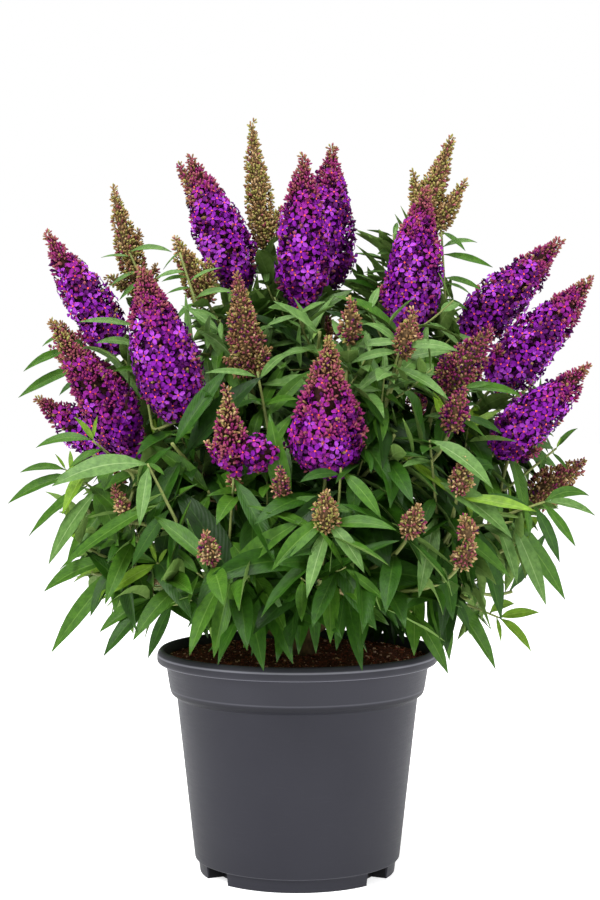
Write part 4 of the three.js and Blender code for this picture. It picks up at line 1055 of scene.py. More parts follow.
# %% Side shoots that reach out
REACHING = [
    ("left", (-149, -10, 360), (-185, -25, 440), [
        (1, -203, -40, 429, 3), (0.82, -218, -40, 409, 3), (0.66, -223, -35, 388, 3), (0.55, -189, -45, 390, 1),
        (0.9, -177, 20, 425, 3)]),
    ("front_left", (-113, -78, 367), (-126, -72, 444), [
        (1, -168, -92, 447, 2), (0.8, -155, -88, 431, 2), (0.55, -142, -95, 409, 3)]),
    ("low_left", (-130, -95, 333), (-155, -118, 357), [
        (1, -199, -112, 351, 3), (0.95, -168, -128, 375, 4), (1, -151, -120, 376, 4), (0.7, -171, -130, 337, 3),
        (0.1, -182, -128, 328, 2), (0.4, -143, -150, 320, 3)]),
    ("low_left", (-137, -70, 302), (-181, -70, 332), [
        (1, -217, -70, 330, 3), (1, -189, -75, 345, 4), (0.9, -179, -60, 347, 4), (0.85, -228, -60, 305, 3),
        (0.6, -212, -60, 279, 3), (0.45, -196, -62, 257, 2), (0.2, -179, -90, 257, 3), (0.5, -135, -120, 281, 3)]),
    ("low_left", (-100, -80, 251), (-143, -92, 263), [
        (1, -198, -75, 237, 3), (0.8, -190, -95, 192, 3), (0.9, -158, -110, 222, 1)]),
    ("low_left", (-75, -118, 243), (-106, -128, 265), [
        (1, -143, -140, 268, 3), (1, -112, -130, 282, 4), (0.95, -97, -132, 276, 4), (0.95, -144, -145, 241, 4),
        (0.3, -122, -150, 209, 3)]),
    ("low_front", (-26, -140, 268), (-47, -176, 261), [
        (1, -60, -196, 203, 3), (0.95, -80, -178, 222, 1), (0.8, -24, -200, 194, 1), (0.5, -7, -190, 218, 3),
        (0.25, -3, -186, 197, 1)]),
    ("low_front", (-1, -105, 276), (11, -150, 251), [
        (0.75, 1, -160, 200, 1), (0.9, 14, -155, 200, 1), (0.5, -15, -165, 195, 1)]),
    ("low_front", (25, -120, 266), (36, -150, 245), [
        (1, 29, -160, 203, 1), (1, 48, -168, 189, 1)]),
    ("low_right", (75, -100, 233), (88, -108, 225), [
        (1, 115, -118, 179, 3), (0.5, 80, -122, 212, 1)]),
    ("low_right", (79, -90, 263), (119, -96, 236), [
        (0.3, 89, -118, 193, 3), (0.7, 118, -90, 185, 3), (0.6, 110, -110, 202, 3), (1, 133, -100, 209, 1),
        (0.85, 154, -90, 178, 3)]),
    ("low_right", (122, -60, 230), (159, -62, 215), [
        (1, 191, -62, 219, 4), (1, 184, -68, 189, 4), (0.95, 160, -70, 197, 4), (0.8, 174, -40, 223, 4),
        (0.6, 131, -80, 205, 3)]),
    ("low_right", (110, -95, 287), (166, -92, 293), [
        (1, 192, -96, 229, 2), (0.95, 209, -80, 231, 3), (0.8, 167, -120, 248, 2), (0.6, 161, -130, 282, 2),
        (0.5, 158, -90, 217, 1), (0.9, 198, -70, 264, 3), (0.3, 131, -120, 236, 1)]),
    ("low_right", (152, -70, 293), (194, -68, 307), [
        (1, 234, -66, 296, 2), (0.95, 218, -72, 272, 3), (0.8, 205, -76, 260, 1), (0.65, 179, -95, 282, 3),
        (1, 233, -40, 310, 3)]),
    ("right", (167, -30, 314), (209, -22, 347), [
        (1, 227, -16, 363, 3), (1, 212, -30, 357, 4), (0.9, 217, -30, 330, 3), (0.8, 192, -50, 331, 3)]),
    ("right", (127, -90, 368), (127, -100, 396), [
        (1, 150, -105, 400, 3), (0.95, 172, -100, 390, 3), (0.1, 97, -110, 375, 2), (0.2, 157, -100, 361, 1),
        (0.5, 144, -60, 379, 1)]),
    ("back_low_front", (63, 50, 250), (70, 66, 221), [
        (1, 47, 70, 186, 1), (1, 67, 80, 183, 0), (0.8, 85, 60, 189, 1), (0.6, 33, 64, 189, 0), (0.9, 98, 40, 189, 1),
        (0.5, 58, 40, 193, 0)]),
    ("low_left", (-90, -150, 299), (-111, -150, 341), [
        (0.98, -182, -150, 324, 2), (0.95, -115, -175, 296, 2), (0.35, -179, -130, 260, 3), (0.2, -123, -150, 264, 1),
        (0.02, -93, -150, 259, 1), (1, -98, -150, 332, 3)]),
    ("low_front", (24, -165, 260), (22, -192, 304), [
        (0.97, -18, -215, 268, 3), (0.85, 7, -222, 249, 2), (0.92, 48, -212, 266, 2), (0.85, 71, -205, 296, 3),
        (0.4, 57, -205, 224, 1), (0.25, 24, -200, 214, 3)]),
    ("low_front", (-52, -138, 262), (-47, -150, 330), [
        (1, -16, -192, 271, 1), (0.3, -30, -185, 253, 3), (0.1, 12, -180, 230, 1), (0.2, -73, -185, 230, 1)]),
    ("front", (29, -165, 285), (32, -172, 339), [
        (0.95, 61, -190, 303, 3), (0.7, -14, -180, 284, 0), (0.9, 2, -185, 329, 1)]),
    ("low_right", (107, -135, 279), (99, -140, 358), [
        (1, 144, -165, 323, 2), (0.8, 76, -160, 338, 2), (0.45, 90, -170, 292, 1), (0.3, 89, -175, 244, 2),
        (0.1, 116, -150, 224, 1), (0.6, 160, -150, 285, 2), (0.2, 159, -150, 255, 3)]),
    ("back_low_front", (80, 50, 241), (87, 60, 214), [
        (1, 75, 75, 183, 1), (0.9, 91, 60, 185, 0), (0.6, 64, 80, 186, 0), (0.8, 103, 40, 193, 1),
        (0.4, 82, 85, 192, 1)]),
    ("low_left", (-88, -105, 232), (-111, -112, 236), [
        (1, -147, -122, 193, 1), (0.9, -151, -112, 210, 3), (0.3, -114, -112, 190, 1)]),
    ("front", (63, -110, 372), (78, -125, 429), [
        (0.98, 50, -130, 445, 2), (0.9, 40, -140, 415, 2), (0.75, 42, -145, 392, 2), (0.97, 121, -135, 424, 2),
        (0.7, 113, -141, 388, 2), (0.25, 52, -145, 369, 1), (0.1, 58, -150, 341, 1)]),
    ("front", (-22, -110, 365), (-30, -120, 409), [
        (0.9, -69, -135, 408, 2), (0.85, -4, -130, 423, 2), (0.4, 1, -140, 388, 3), (0.2, 13, -120, 411, 3)]),
    ("back_low_front", (83, 40, 238), (93, 50, 216), [
        (1, 40, 62, 182, 1), (0.9, 55, 66, 180, 0), (0.7, 79, 66, 180, 1), (0.8, 96, 52, 183, 0),
        (1, 109, 40, 188, 1)]),
    ("back_low_front", (43, 66, 226), (52, 72, 213), [
        (1, 45, 80, 177, 0), (0.9, 58, 80, 177, 1), (0.6, 34, 78, 179, 1)]),
    ("back_low_front", (67, 60, 226), (74, 64, 214), [
        (1, 69, 72, 178, 1), (0.9, 80, 58, 180, 0), (0.5, 63, 74, 178, 0), (0.2, 88, 50, 182, 1)]),
    ("back_low_front", (73, 60, 223), (82, 62, 211), [
        (1, 75, 70, 175, 1), (0.9, 83, 60, 176, 1), (0.6, 66, 76, 175, 1), (0.4, 90, 50, 178, 1),
        (0.8, 95, 44, 180, 1)]),
    ("top_left", (-74, -38, 442), (-94, -30, 504), [
        (1, -108, -20, 491, 2), (0.75, -113, -34, 483, 2), (0.68, -109, -24, 481, 3), (0.55, -104, -36, 471, 3),
        (0.4, -50, -44, 472, 2), (0.62, -60, -28, 492, 2), (0.35, -96, -56, 448, 3)]),
    ("left", (-122, 40, 469), (-141, 46, 509), [
        (1, -104, 30, 508, 2), (0.9, -164, 40, 504, 2), (0.6, -157, 44, 480, 2), (0.4, -148, 30, 468, 3)]),
    ("top_right", (122, -2, 439), (118, 8, 523), [
        (1, 137, 0, 507, 3), (0.85, 148, 16, 515, 2), (0.78, 160, 6, 494, 3), (0.55, 151, 4, 475, 3),
        (0.5, 140, -8, 472, 3), (0.35, 139, 0, 459, 3), (0.18, 132, -4, 454, 2)]),
]


AIM_ROUNDS, AIM_SHARE = 12, 0.8


def aimed(roots, tips, droops):
    """The ways and lengths of leaves whose tips reach points: way += share * (wanted way - way of the tip)."""
    want = tips - roots
    ways, lengths = unit(want), np.linalg.norm(want, axis=1)
    for _ in range(AIM_ROUNDS):
        ribs, _ = midribs(roots, ways, lengths, droops)
        got = ribs[:, -1] - roots
        ways = unit(ways + (unit(want) - unit(got)) * AIM_SHARE)
        lengths = lengths * np.linalg.norm(want, axis=1) / np.linalg.norm(got, axis=1)
    return ways, lengths


# %% Leaves of the side shoots
FACING = np.array([0.0, -4.0, 0.6])  # these leaves show their upper side to the front
ALONE = {"droop": 0.6, "free": 0.6, "wide": 0.96, "slim": 0.76, "longest_wide": 74}
reaching_stems, roots, tips, tones = [], [], [], []
for mass, foot, tip, held in REACHING:
    foot, tip = np.array(foot, float), np.array(tip, float)
    near = np.concatenate([shoot["path"][120:] for shoot in shoots if shoot["mass"] == mass])
    start = near[np.argmin(((near - foot) ** 2).sum(1))]
    path, _ = sweep(start, unit(foot - start + UP), foot, unit(tip - foot), count=12)
    reaching_stems.append(np.concatenate([path, foot + (tip - foot) * np.linspace(0.15, 1, 7)[:, None]]))
    for share, *end, tone in held:
        roots.append(foot + (tip - foot) * share)
        tips.append(end)
        tones.append(tone)
roots, tips = np.array(roots), np.array(tips, float)
numbers = number + np.arange(len(roots))
droops = ALONE["droop"] * (1 + LEAF["droop_sway"] * sway(numbers, 6))
ways, lengths = aimed(roots, tips, droops)
near_viewer = (tips[:, 2] < 300) | (tips[:, 1] < -140)
alone = {"root": roots, "leaving": ways, "top": np.repeat(FACING[None], len(roots), 0), "length": lengths,
         "droop": droops, "number": numbers, "tint": np.array(tones), "free": np.full(len(roots), ALONE["free"]),
         "wide": np.where(near_viewer, ALONE["wide"], ALONE["slim"]) * np.minimum(1, ALONE["longest_wide"] / lengths)}
print(len(roots), "leaves on", len(REACHING), "side shoots")

# %% [markdown]
# ## The leaves
#
# A leaf is long and pointed, widest a little below its middle, with a short stalk. Its two halves are
# raised like a shallow V, its edges ripple a little, and its tip hangs. Across the leaf run five points
# above and one below, the ridge of the midrib, so that the blade is closed and has a real underside.
# Each half bulges enough to keep its upper side above its underside where the edge ripples.
# Width over length at a share t of the way is slim * t^a * (1 - t)^b, scaled to 1 at its widest.

# %% Leaf blades
ACROSS = np.array([-1, -0.5, 0, 0.5, 1])
BLADE = {"foot": 0.95, "tip": 1.1, "fold": 0.34, "fold_sway": 0.5, "slim_sway": 0.3, "ripple": 0.06, "ripples": 2.6,
         "bulge": 0.08, "keel": 0.28, "keel_share": 0.03}


def blades(leaves):
    """Corners of every leaf: midrib + side * across * half + top * (fold * |across| + ripple + bulge) * half."""
    count = len(leaves["root"])
    ribs, steps = midribs(leaves["root"], leaves["leaving"], leaves["length"], leaves["droop"])
    along = unit(np.concatenate([steps[:, :1], steps[:, 1:] + steps[:, :-1], steps[:, -1:]], 1))
    start = unit(leaves["top"] * 0.4 + UP + unit(leaves["root"] * [1, 1, 0]) * 0.5)
    tops = np.empty_like(along)
    tops[:, 0] = unit(start - along[:, 0] * (start * along[:, 0]).sum(-1, keepdims=True))
    for i in range(1, RINGS + 1):
        flat = tops[:, i - 1] - along[:, i] * (tops[:, i - 1] * along[:, i]).sum(-1, keepdims=True)
        tops[:, i] = unit(flat)
    roll = np.radians(LEAF["roll"] * leaves["free"] * sway(leaves["number"], 8))
    share = np.linspace(0, 1, RINGS + 1)
    turn = roll[:, None] * (0.5 + 0.5 * share)[None]
    sides = np.cross(along, tops)
    cos, sin = np.cos(turn)[..., None], np.sin(turn)[..., None]
    tops, sides = tops * cos + sides * sin, sides * cos - tops * sin
    shape = share ** BLADE["foot"] * (1 - share) ** BLADE["tip"]
    shape = shape / shape.max()
    shape[0], shape[1], shape[-1] = 0.06, max(0.14, shape[1] * 0.7), 0.02
    slim = LEAF["slim"] * leaves["wide"] * (1 + BLADE["slim_sway"] * sway(leaves["number"], 11))
    half = (leaves["length"] * slim / 2)[:, None] * shape[None]
    fold = BLADE["fold"] + BLADE["fold_sway"] * sway(leaves["number"], 12)
    phase = BLADE["ripples"] * share[None] + sway(leaves["number"], 13)[:, None]
    ripple = np.sin(2 * np.pi * phase) * BLADE["ripple"]
    rise = np.abs(ACROSS) * fold[:, None, None] * half[..., None] + (
        np.abs(ACROSS) ** 2 * np.sign(ACROSS) * ripple[..., None] * half[..., None])
    rise = rise + (np.abs(ACROSS) == 0.5) * BLADE["bulge"] * half[..., None]
    wide = sides[:, :, None] * (ACROSS * half[..., None])[..., None]
    upper = ribs[:, :, None] + wide + tops[:, :, None] * rise[..., None]
    keel = ribs - tops * (BLADE["keel"] + BLADE["keel_share"] * half)[..., None]
    return np.concatenate([upper, keel[:, :, None]], 2).reshape(count, -1, 3)


RING = len(ACROSS) + 1


def strips(pairs):
    """Faces between neighbouring rings of a leaf's corners, along pairs of corners of a ring."""
    ends = np.concatenate([np.arange(RINGS)[:, None] * RING + [pair] for pair in pairs])
    return np.stack([ends[:, 0], ends[:, 1], ends[:, 1] + RING, ends[:, 0] + RING], -1)


above, below = strips([(0, 1), (1, 2), (2, 3), (3, 4)]), strips([(4, 5), (5, 0)])
end = RINGS * RING
caps = np.array([[2, 1, 0, 5], [5, 4, 3, 2], [end + 5, end, end + 1, end + 2], [end + 2, end + 3, end + 4, end + 5]])
leaf_faces = np.concatenate([above, below, caps])
leaf_kinds = np.array([0] * len(above) + [1] * (len(below) + len(caps)))
leaf_map = np.concatenate([np.stack([np.append((ACROSS + 1) / 2, 0.5), np.full(RING, v)], -1)
                           for v in np.linspace(0, 1, RINGS + 1)])


# %% [markdown]
# The upper side is green with a pale midrib and finely quilted between its side veins, and the underside
# is felted and paler. The tints are dealt out by a leaf's age and place: dark inside the crown, partly for
# age and partly as painted shade; fresh green low down and outside, where leaves far out take brighter
# tints as painted light; yellow-green at a few young tips; and greyer at the top, partly the leaf's own
# grey and partly a painted sheen.

# %% Leaf finishes
MIDRIB_SHARE, VEIN_SHARE, QUILT_DEPTH = 0.5, 0.04, 0.0001


def leaf_finish(name, one, other, vein, roughness=0.45):
    """A leaf's finish: mottled green, paler along the veins, with the quilting as relief."""
    finish, tree, surface, place = new_finish(name, roughness, Specular_IOR_Level=0.2)
    spots = node(tree, "UVMap", {"uv_map": "surface"}).outputs[0]
    green = use(tree, mottle, One=linear(*one), Other=linear(*other), Place=place, Scale=240.0)["Colour"]
    pattern = use(tree, veins, Map=spots)
    lines = maths(tree, "MAXIMUM", maths(tree, "MULTIPLY", pattern["Midrib"], MIDRIB_SHARE),
                  maths(tree, "MULTIPLY", pattern["Veins"], VEIN_SHARE))
    tree.links.new(mixed(tree, lines, green, linear(*vein)), surface.inputs["Base Color"])
    relief(tree, surface, pattern["Height"], QUILT_DEPTH)
    return finish


LEAF_TINTS = [
    leaf_finish("shade_green", (24, 54, 6), (18, 43, 5), (44, 76, 18)),
    leaf_finish("leaf_green", (40, 78, 11), (30, 64, 8), (72, 108, 36)),
    leaf_finish("grey_green", (90, 124, 60), (70, 103, 45), (142, 166, 110)),
    leaf_finish("bright_green", (62, 101, 22), (49, 86, 17), (102, 136, 58)),
    leaf_finish("young_green", (108, 144, 34), (90, 124, 27), (146, 172, 80))]
UNDERSIDE = leaf_finish("felted_underside", (108, 138, 66), (92, 122, 54), (134, 158, 90), 0.8)


def leaf_piece(name, batch, tints):
    """All the leaves of a batch as one piece, each with its tint above and the felted side below."""
    corners = blades(batch)
    count, per_leaf = corners.shape[:2]
    faces = (leaf_faces[None] + np.arange(count)[:, None, None] * per_leaf).reshape(-1, 4)
    kinds = np.where(leaf_kinds[None] == 0, tints[:, None], len(LEAF_TINTS)).ravel()

    def rim(first, second):
        one, other = first % RING, second % RING
        return ((one == 0) & (other == 0)) | ((one == 4) & (other == 4))

    piece = make_piece(name, corners, [faces], LEAF_TINTS + [UNDERSIDE], kinds, np.tile(leaf_map, (count, 1)),
                       sharp=rim)
    stands_for(piece, "foliage", *CROWNS)
    return piece


# %% Leaves as pieces
SHADE, LEAFY, GREY, BRIGHT, YOUNG = range(5)
LOW_LEAVES, HIGH_LEAVES, TOP_LEAVES = 245, 380, 430  # heights
LIT_OUT, YOUNG_OUT, YOUNG_AGE = 120, 110, 16  # distances out, and the distance from the tip of the youngest


def tint_of(batch):
    """A tint for each leaf: darker with age and inwards, partly painted shade; brighter where lit far out, painted
    light; greyer with height, partly painted sheen; and a few young tips bright.
    """
    height, age = batch["root"][:, 2], batch["age"]
    out, sideways = np.hypot(batch["root"][:, 0], batch["root"][:, 1]), np.abs(batch["root"][:, 0])
    draw, one = sway(batch["owner"], 14) + 0.5, sway(batch["number"], 19) + 0.5
    # Leaves far enough out count as lit and take the brighter tints: painted light.
    lit = np.where(height < LOW_LEAVES, out, sideways) > LIT_OUT
    fresh = (age < 10 + 24 * draw) | (lit & (one > 0.3))
    # High leaves turn grey, partly their own grey and partly a painted sheen.
    high, low = np.where(fresh | (one < 0.5), GREY, BRIGHT), np.where(fresh & (draw < 0.8), BRIGHT, LEAFY)
    tint = np.where(height > HIGH_LEAVES, high, low)
    # Old leaves inside the crown, away from the lit ones, take the darker tints: painted shade as well as age.
    old_in_shade = (age > 30 + 45 * one) & (one < 0.8) & ~lit
    tint = np.where(old_in_shade, np.where(height > TOP_LEAVES, LEAFY, SHADE), tint)
    return np.where((age < YOUNG_AGE) & (draw < 0.34) & (sideways > YOUNG_OUT), YOUNG, tint)


for batch in (leaves, small):
    batch["tint"] = tint_of(batch)
    batch["wide"] = batch["free"] = np.ones(len(batch["root"]))
large = {key: np.concatenate([leaves[key], alone[key]]) for key in alone}
tiny = {key: small[key] for key in alone}
for name, batch in (("leaves", large), ("small_leaves", tiny)):
    lower = batch["root"][:, 2] < np.median(batch["root"][:, 2])
    for label, chosen in (("low", lower), ("high", ~lower)):
        some = {key: value[chosen] for key, value in batch.items()}
        leaf_piece(label + "_" + name, some, some["tint"])

# %% [markdown]
# ## Twigs
#
# The stems are square-ish and downy, fresh green near their tips and tan further down, and a little
# swollen where each pair of leaves sits.

# %% Twigs
TWIG = {"root": 2.6, "side": 1.9, "tip": 1.3, "sides": 7, "step": 6, "swell": 0.45, "swell_reach": 2.5,
        "reaching": (1.7, 0.9), "reaching_sides": 6, "sprig_tip": 0.6, "sprig_sides": 4, "sprig_rings": 6}
green_twig = plain_finish("green_stem", (122, 132, 66), (102, 114, 56), 0.7, 120.0, 1200.0, 0.0003)
tan_twig = plain_finish("tan_stem", (138, 122, 82), (112, 92, 62), 0.8, 140.0, 1200.0, 0.0004)
old, fresh = [], []
for i, shoot in enumerate(shoots):
    begin = BOUGH["share"] - 0.01 if shoot["main"] else 0.0
    youngest = leaves["age"][leaves["owner"] == i].min(initial=shoot["run"] * 0.5)
    last = 1 if shoot["length"] else max(begin + 0.1, 1 - (youngest - LEAF["first"]) / shoot["run"])
    count = max(6, int(shoot["run"] * (last - begin) / TWIG["step"]))
    share = np.linspace(begin, last, count)
    part = (share - begin) / (last - begin)
    root = TWIG["root"] if shoot["main"] else TWIG["side"]
    swell = ((((1 - share) * shoot["run"] - LEAF["first"]) / step_of(shoot) + 0.5) % 1 - 0.5) * step_of(shoot)
    radii = root + (TWIG["tip"] - root) * part + TWIG["swell"] * np.exp(-(swell / TWIG["swell_reach"]) ** 2)
    half = count // 2
    path = at(shoot["path"], share)
    old.append(tube(path[:half + 1], radii[:half + 1], TWIG["sides"]))
    fresh.append(tube(path[half:], radii[half:], TWIG["sides"]))
for stem in reaching_stems:
    fresh.append(tube(stem, np.linspace(*TWIG["reaching"], len(stem)), TWIG["reaching_sides"]))
for sprig in sprigs:
    rings = TWIG["sprig_rings"]
    radii = np.linspace(SPRIG["radius"], TWIG["sprig_tip"], rings)
    fresh.append(tube(at(sprig, np.linspace(0, 1, rings)), radii, TWIG["sprig_sides"]))
for name, parts_of, finish in (("old_twigs", old, tan_twig), ("fresh_twigs", fresh, green_twig)):
    corners, faces = joined(parts_of)
    twigs = make_piece(name, corners, faces, [finish])
    stands_for(twigs, "bark", *CROWNS)

# %% [markdown]
# ## Flower spikes
#
# A spike is a cone of small clusters. Florets open from its foot upwards: each is a narrow tube that
# opens into four flat petals round an orange eye. Between them and under them stand dark tubes and
# buds, and above them magenta buds turn maroon and brown towards the tip. A young spike is all buds.
# Evenly spread places on a cone come from golden turns, each with an equal share of the cone's area.

# %% The spikes
# The kinds: the radius from the foot to the tip as shares of the largest, how far up the florets are
# open (-1 for none), how far open and closed ones mix, and the size of the buds.
SPIKES = {
    "bloom": {"outline": (0.5, 0.96, 1, 0.92, 0.72, 0.45, 0.14), "opened": 0.75, "mixed": 0.07},
    "pear": {"outline": (0.5, 0.94, 1, 0.82, 0.54, 0.34, 0.12), "opened": 0.5, "mixed": 0.15},
    "spike": {"outline": (0.6, 1.0, 1.1, 0.98, 0.78, 0.52, 0.2), "opened": -1, "bud": 0.93},
    "tuft": {"outline": (0.55, 1, 0.88, 0.62, 0.26), "opened": -1, "bud": 0.86},
}
# Spikes that differ from their kind: shape, how much of the radius, how far up they are open, and bud tone.
LOOKS = {
    ("front", 0): ("pear", 1.0, 0.54, "maroon"), ("front", 1): ("pear", 0.8, 0.24, "tan"),
    ("front", 2): ("spike", 0.8, -1, "umber"), ("front", 3): ("spike", 0.82, -1, "wine"),
    ("front", 4): ("tuft", 0.85, -1, "maroon"), ("front", 5): ("spike", 0.86, -1, "umber"),
    ("front_left", 1): ("pear", 1.0, 0.6, "maroon"), ("left", 1): ("bloom", 1.0, 0.74, "violet"),
    ("right", 3): ("spike", 0.86, -1, "wine"), ("top_left", 1): ("spike", 0.84, -1, "umber"),
    ("low_left", 1): ("tuft", 0.7, -1, "tan"), ("low_front", 0): ("tuft", 0.95, -1, "olive"),
    ("low_front", 1): ("tuft", 0.85, -1, "tan"), ("low_front", 2): ("tuft", 0.86, -1, "tan"),
    ("low_right", 1): ("spike", 1.2, -1, "umber"), ("low_right", 2): ("tuft", 0.85, -1, "tan"),
}
TONES = {"bloom": "violet", "spike": "olive", "tuft": "tan"}
# Side spikes: the mass and shoot, how far up the spike it starts, its turn round the spike (0 towards the
# front, 90 to the right), its lean away from it, its length, its radius, and how far up it is open.
LOBES = [
    ("front", 1, 0.12, 80, 78, 32, 16, 0.95), ("front", 1, 0.05, -80, 44, 22, 8, 0.5),
    ("front", 0, 0.0, 80, 48, 30, 11, 0.9), ("front", 0, 0.02, -75, 42, 26, 9, 0.5),
    ("front_left", 1, 0.1, 60, 40, 40, 12, 0.9), ("top_left", 0, 0.5, -70, 13, 50, 10, -1),
    ("left", 2, 0.02, 80, 46, 24, 7, -1), ("left", 2, 0.04, -85, 48, 26, 7, -1), ("left", 2, 0.3, 85, 26, 26, 6, -1),
    ("top_right", 1, 0.22, -85, 28, 40, 7, -1), ("top", 2, 0.02, 85, 30, 30, 7, -1),
    ("right", 3, 0.05, -70, 42, 26, 8, -1), ("top_left", 2, 0.05, 80, 34, 28, 7, -1),
    ("top_left", 1, 0.02, 70, 44, 22, 8, -1), ("top_left", 1, 0.0, -70, 46, 20, 7, -1),
    ("low_front", 2, 0.85, 217, 60, 17, 8.5, -1), ("front", 1, -0.42, 0, 2, 32, 6, -1),
    ("right", 0, 0.0, -60, 44, 30, 11, 0.7), ("right", 1, 0.0, 60, 44, 30, 10, 0.7),
    ("front_left", 0, 0.0, 75, 40, 30, 11, 0.8), ("left", 0, 0.0, -75, 40, 30, 10, 0.7),
    ("top_right", 0, 0.0, -80, 38, 34, 11, 0.8), ("top", 0, 0.0, 80, 38, 32, 10, 0.8),
    ("back_front", 0, 0.0, 75, 42, 32, 11, 0.8), ("back_front", 2, 0.1, -75, 40, 24, 7, -1),
    ("back_front_left", 0, 0.0, 75, 40, 30, 11, 0.8), ("back_front_left", 1, 0.4, -80, 18, 56, 9, -1)]


# %% All the spikes
def spike_of(kind, foot, axis, length, radius, opened, tone):
    """One spike: a cone on its axis, how far up it is open, and the tone of its buds."""
    return {"kind": kind, "foot": foot, "axis": axis, "length": length, "radius": radius, "opened": opened,
            "tone": tone}


spikes, lobe_stems = [], []
for i, shoot in enumerate(shoots):
    if not shoot["length"]:
        continue
    within = i - next(k for k, other in enumerate(shoots) if other["mass"] == shoot["mass"])
    kind = shoot["kind"]
    kind, part, opened, tone = LOOKS.get((shoot["mass"].replace("back_", ""), within),
                                         (kind, 1.0, SPIKES[kind]["opened"], TONES[kind]))
    spikes.append(spike_of(kind, shoot["foot"], shoot["axis"], shoot["length"], shoot["radius"] * part, opened, tone))
    for mass, at_row, start, turn, lean, length, radius, opens in LOBES:
        if (mass, at_row) != (shoot["mass"], within):
            continue
        begin = shoot["foot"] + shoot["axis"] * start * shoot["length"]
        side = outwards(turn) - shoot["axis"] * (outwards(turn) @ shoot["axis"])
        way = shoot["axis"] * np.cos(np.radians(lean)) + unit(side) * np.sin(np.radians(lean))
        foot = begin + way * radius * 0.6
        lobe_stems.append(np.stack([begin - shoot["axis"] * 4, begin + way * 2, foot + way * 2]))
        lobe_tone = "maroon" if opens < 0 and tone == "violet" else tone
        spikes.append(spike_of("bloom" if opens > 0 else "spike", foot, way, length, radius, opens, lobe_tone))
print(len(spikes), "spikes")


# %% Places on a spike
def spread_over(spike, low, high, spacing, depth, draw):
    """Even places on a spike between two heights: share up it, place, and the way out of it.

    share = the height below which lies the same share of the area; turn = golden turns;
    place = foot + axis * share * length + out * (radius(share) - depth).
    """
    outline = np.array(SPIKES[spike["kind"]]["outline"])
    fine = np.linspace(low, high, 200)
    radius = spike["radius"] * np.interp(fine, np.linspace(0, 1, len(outline)), outline)
    count = int(2 * np.pi * (radius - depth * 0.5).clip(1).mean() * spike["length"] * (high - low) / spacing ** 2)
    area = np.cumsum(radius + 0.05 * spike["radius"])
    share = np.interp((np.arange(count) + 0.5) / max(count, 1), area / area[-1], fine)
    turn = 2 * np.pi * (np.arange(count) * GOLDEN + draw.uniform()) + draw.normal(0, 0.1, count)
    here = np.interp(share, fine, radius)
    slope = np.interp(share, fine, np.gradient(radius, fine * spike["length"]))
    first, second, axis = frames_along(spike["axis"][None], np.zeros(1))[0]
    out = np.cos(turn)[:, None] * first + np.sin(turn)[:, None] * second
    way = unit(out - axis * slope[:, None] * 0.7 + axis * 0.1)
    lumps = 1.2 * np.sin(3 * turn + 9 * share) + 0.9 * np.sin(5 * turn - 14 * share)
    away = (here - depth + lumps * np.minimum(here / 12, 1)).clip(0.3) + draw.normal(0, 0.7, count)
    place = spike["foot"] + axis * (share * spike["length"])[:, None] + out * away[:, None]
    return share, place, way


def shaken(ways, amount, draw):
    """Ways tipped a little at random."""
    return unit(ways + draw.normal(0, amount, ways.shape))


# %% The floret and the bud
def floret_shape():
    """A floret facing +Z, 1 across: four petals of two rows each, a tube behind and an eye in the middle."""
    corners, faces, kinds = [], [], []
    reach, half, rise = (0.06, 0.3, 0.5), (0.05, 0.165, 0.1), (-0.02, 0.035, -0.07)
    for petal in range(4):
        turn = np.pi / 2 * petal
        out, side = np.array([np.cos(turn), np.sin(turn), 0]), np.array([-np.sin(turn), np.cos(turn), 0])
        base = len(corners)
        for r, w, z in zip(reach, half, rise):
            for u in (-1, 0, 1):
                bulge = 0.03 * (u == 0) * (r > 0.4)
                corners.append(out * (r + bulge) + side * w * u + UP * (z - 0.045 * (u == 0)))
        for row in range(2):
            for u in range(2):
                a = base + row * 3 + u
                faces.append([a, a + 3, a + 4, a + 1])
                kinds.append(0)
    base = len(corners)
    for turn in np.arange(4) * np.pi / 2 + np.pi / 4:
        way = np.array([np.cos(turn), np.sin(turn), 0])
        corners += [way * 0.085 - UP * 0.02, way * 0.05 - UP * 0.7]
    for i in range(4):
        a, b = base + 2 * i, base + 2 * ((i + 1) % 4)
        faces.append([a + 1, b + 1, b, a])
        kinds.append(1)
    base = len(corners)
    for turn in np.arange(4) * np.pi / 2:
        corners.append(np.array([np.cos(turn), np.sin(turn), 0]) * 0.088 + UP * 0.014)
    faces.append([base, base + 1, base + 2, base + 3])
    kinds.append(2)
    return np.array(corners), np.array(faces), np.array(kinds)


floret_corners, floret_faces, floret_kinds = floret_shape()


def bud_shape(sides=4, twist=0.4):
    """A closed bud along +Z, 1 long: a point, two rings and a point."""
    turns = np.arange(sides) * 2 * np.pi / sides
    rings = [np.stack([r * np.cos(turns + twist * k), r * np.sin(turns + twist * k), np.full(sides, z)], -1)
             for k, (r, z) in enumerate(((0.14, 0.3), (0.2, 0.72)))]
    return np.concatenate(rings + [[[0, 0, 0]], [[0, 0, 1]]]), shell(len(rings), sides)


bud_corners, bud_faces = bud_shape()


# %% Flower finishes
def flower_finish(name, one, other, roughness=0.6, scale=500.0, **constants):
    """A finely mottled finish of petals and buds."""
    return plain_finish(name, one, other, roughness, scale, 2500.0, 0.0001, **constants)


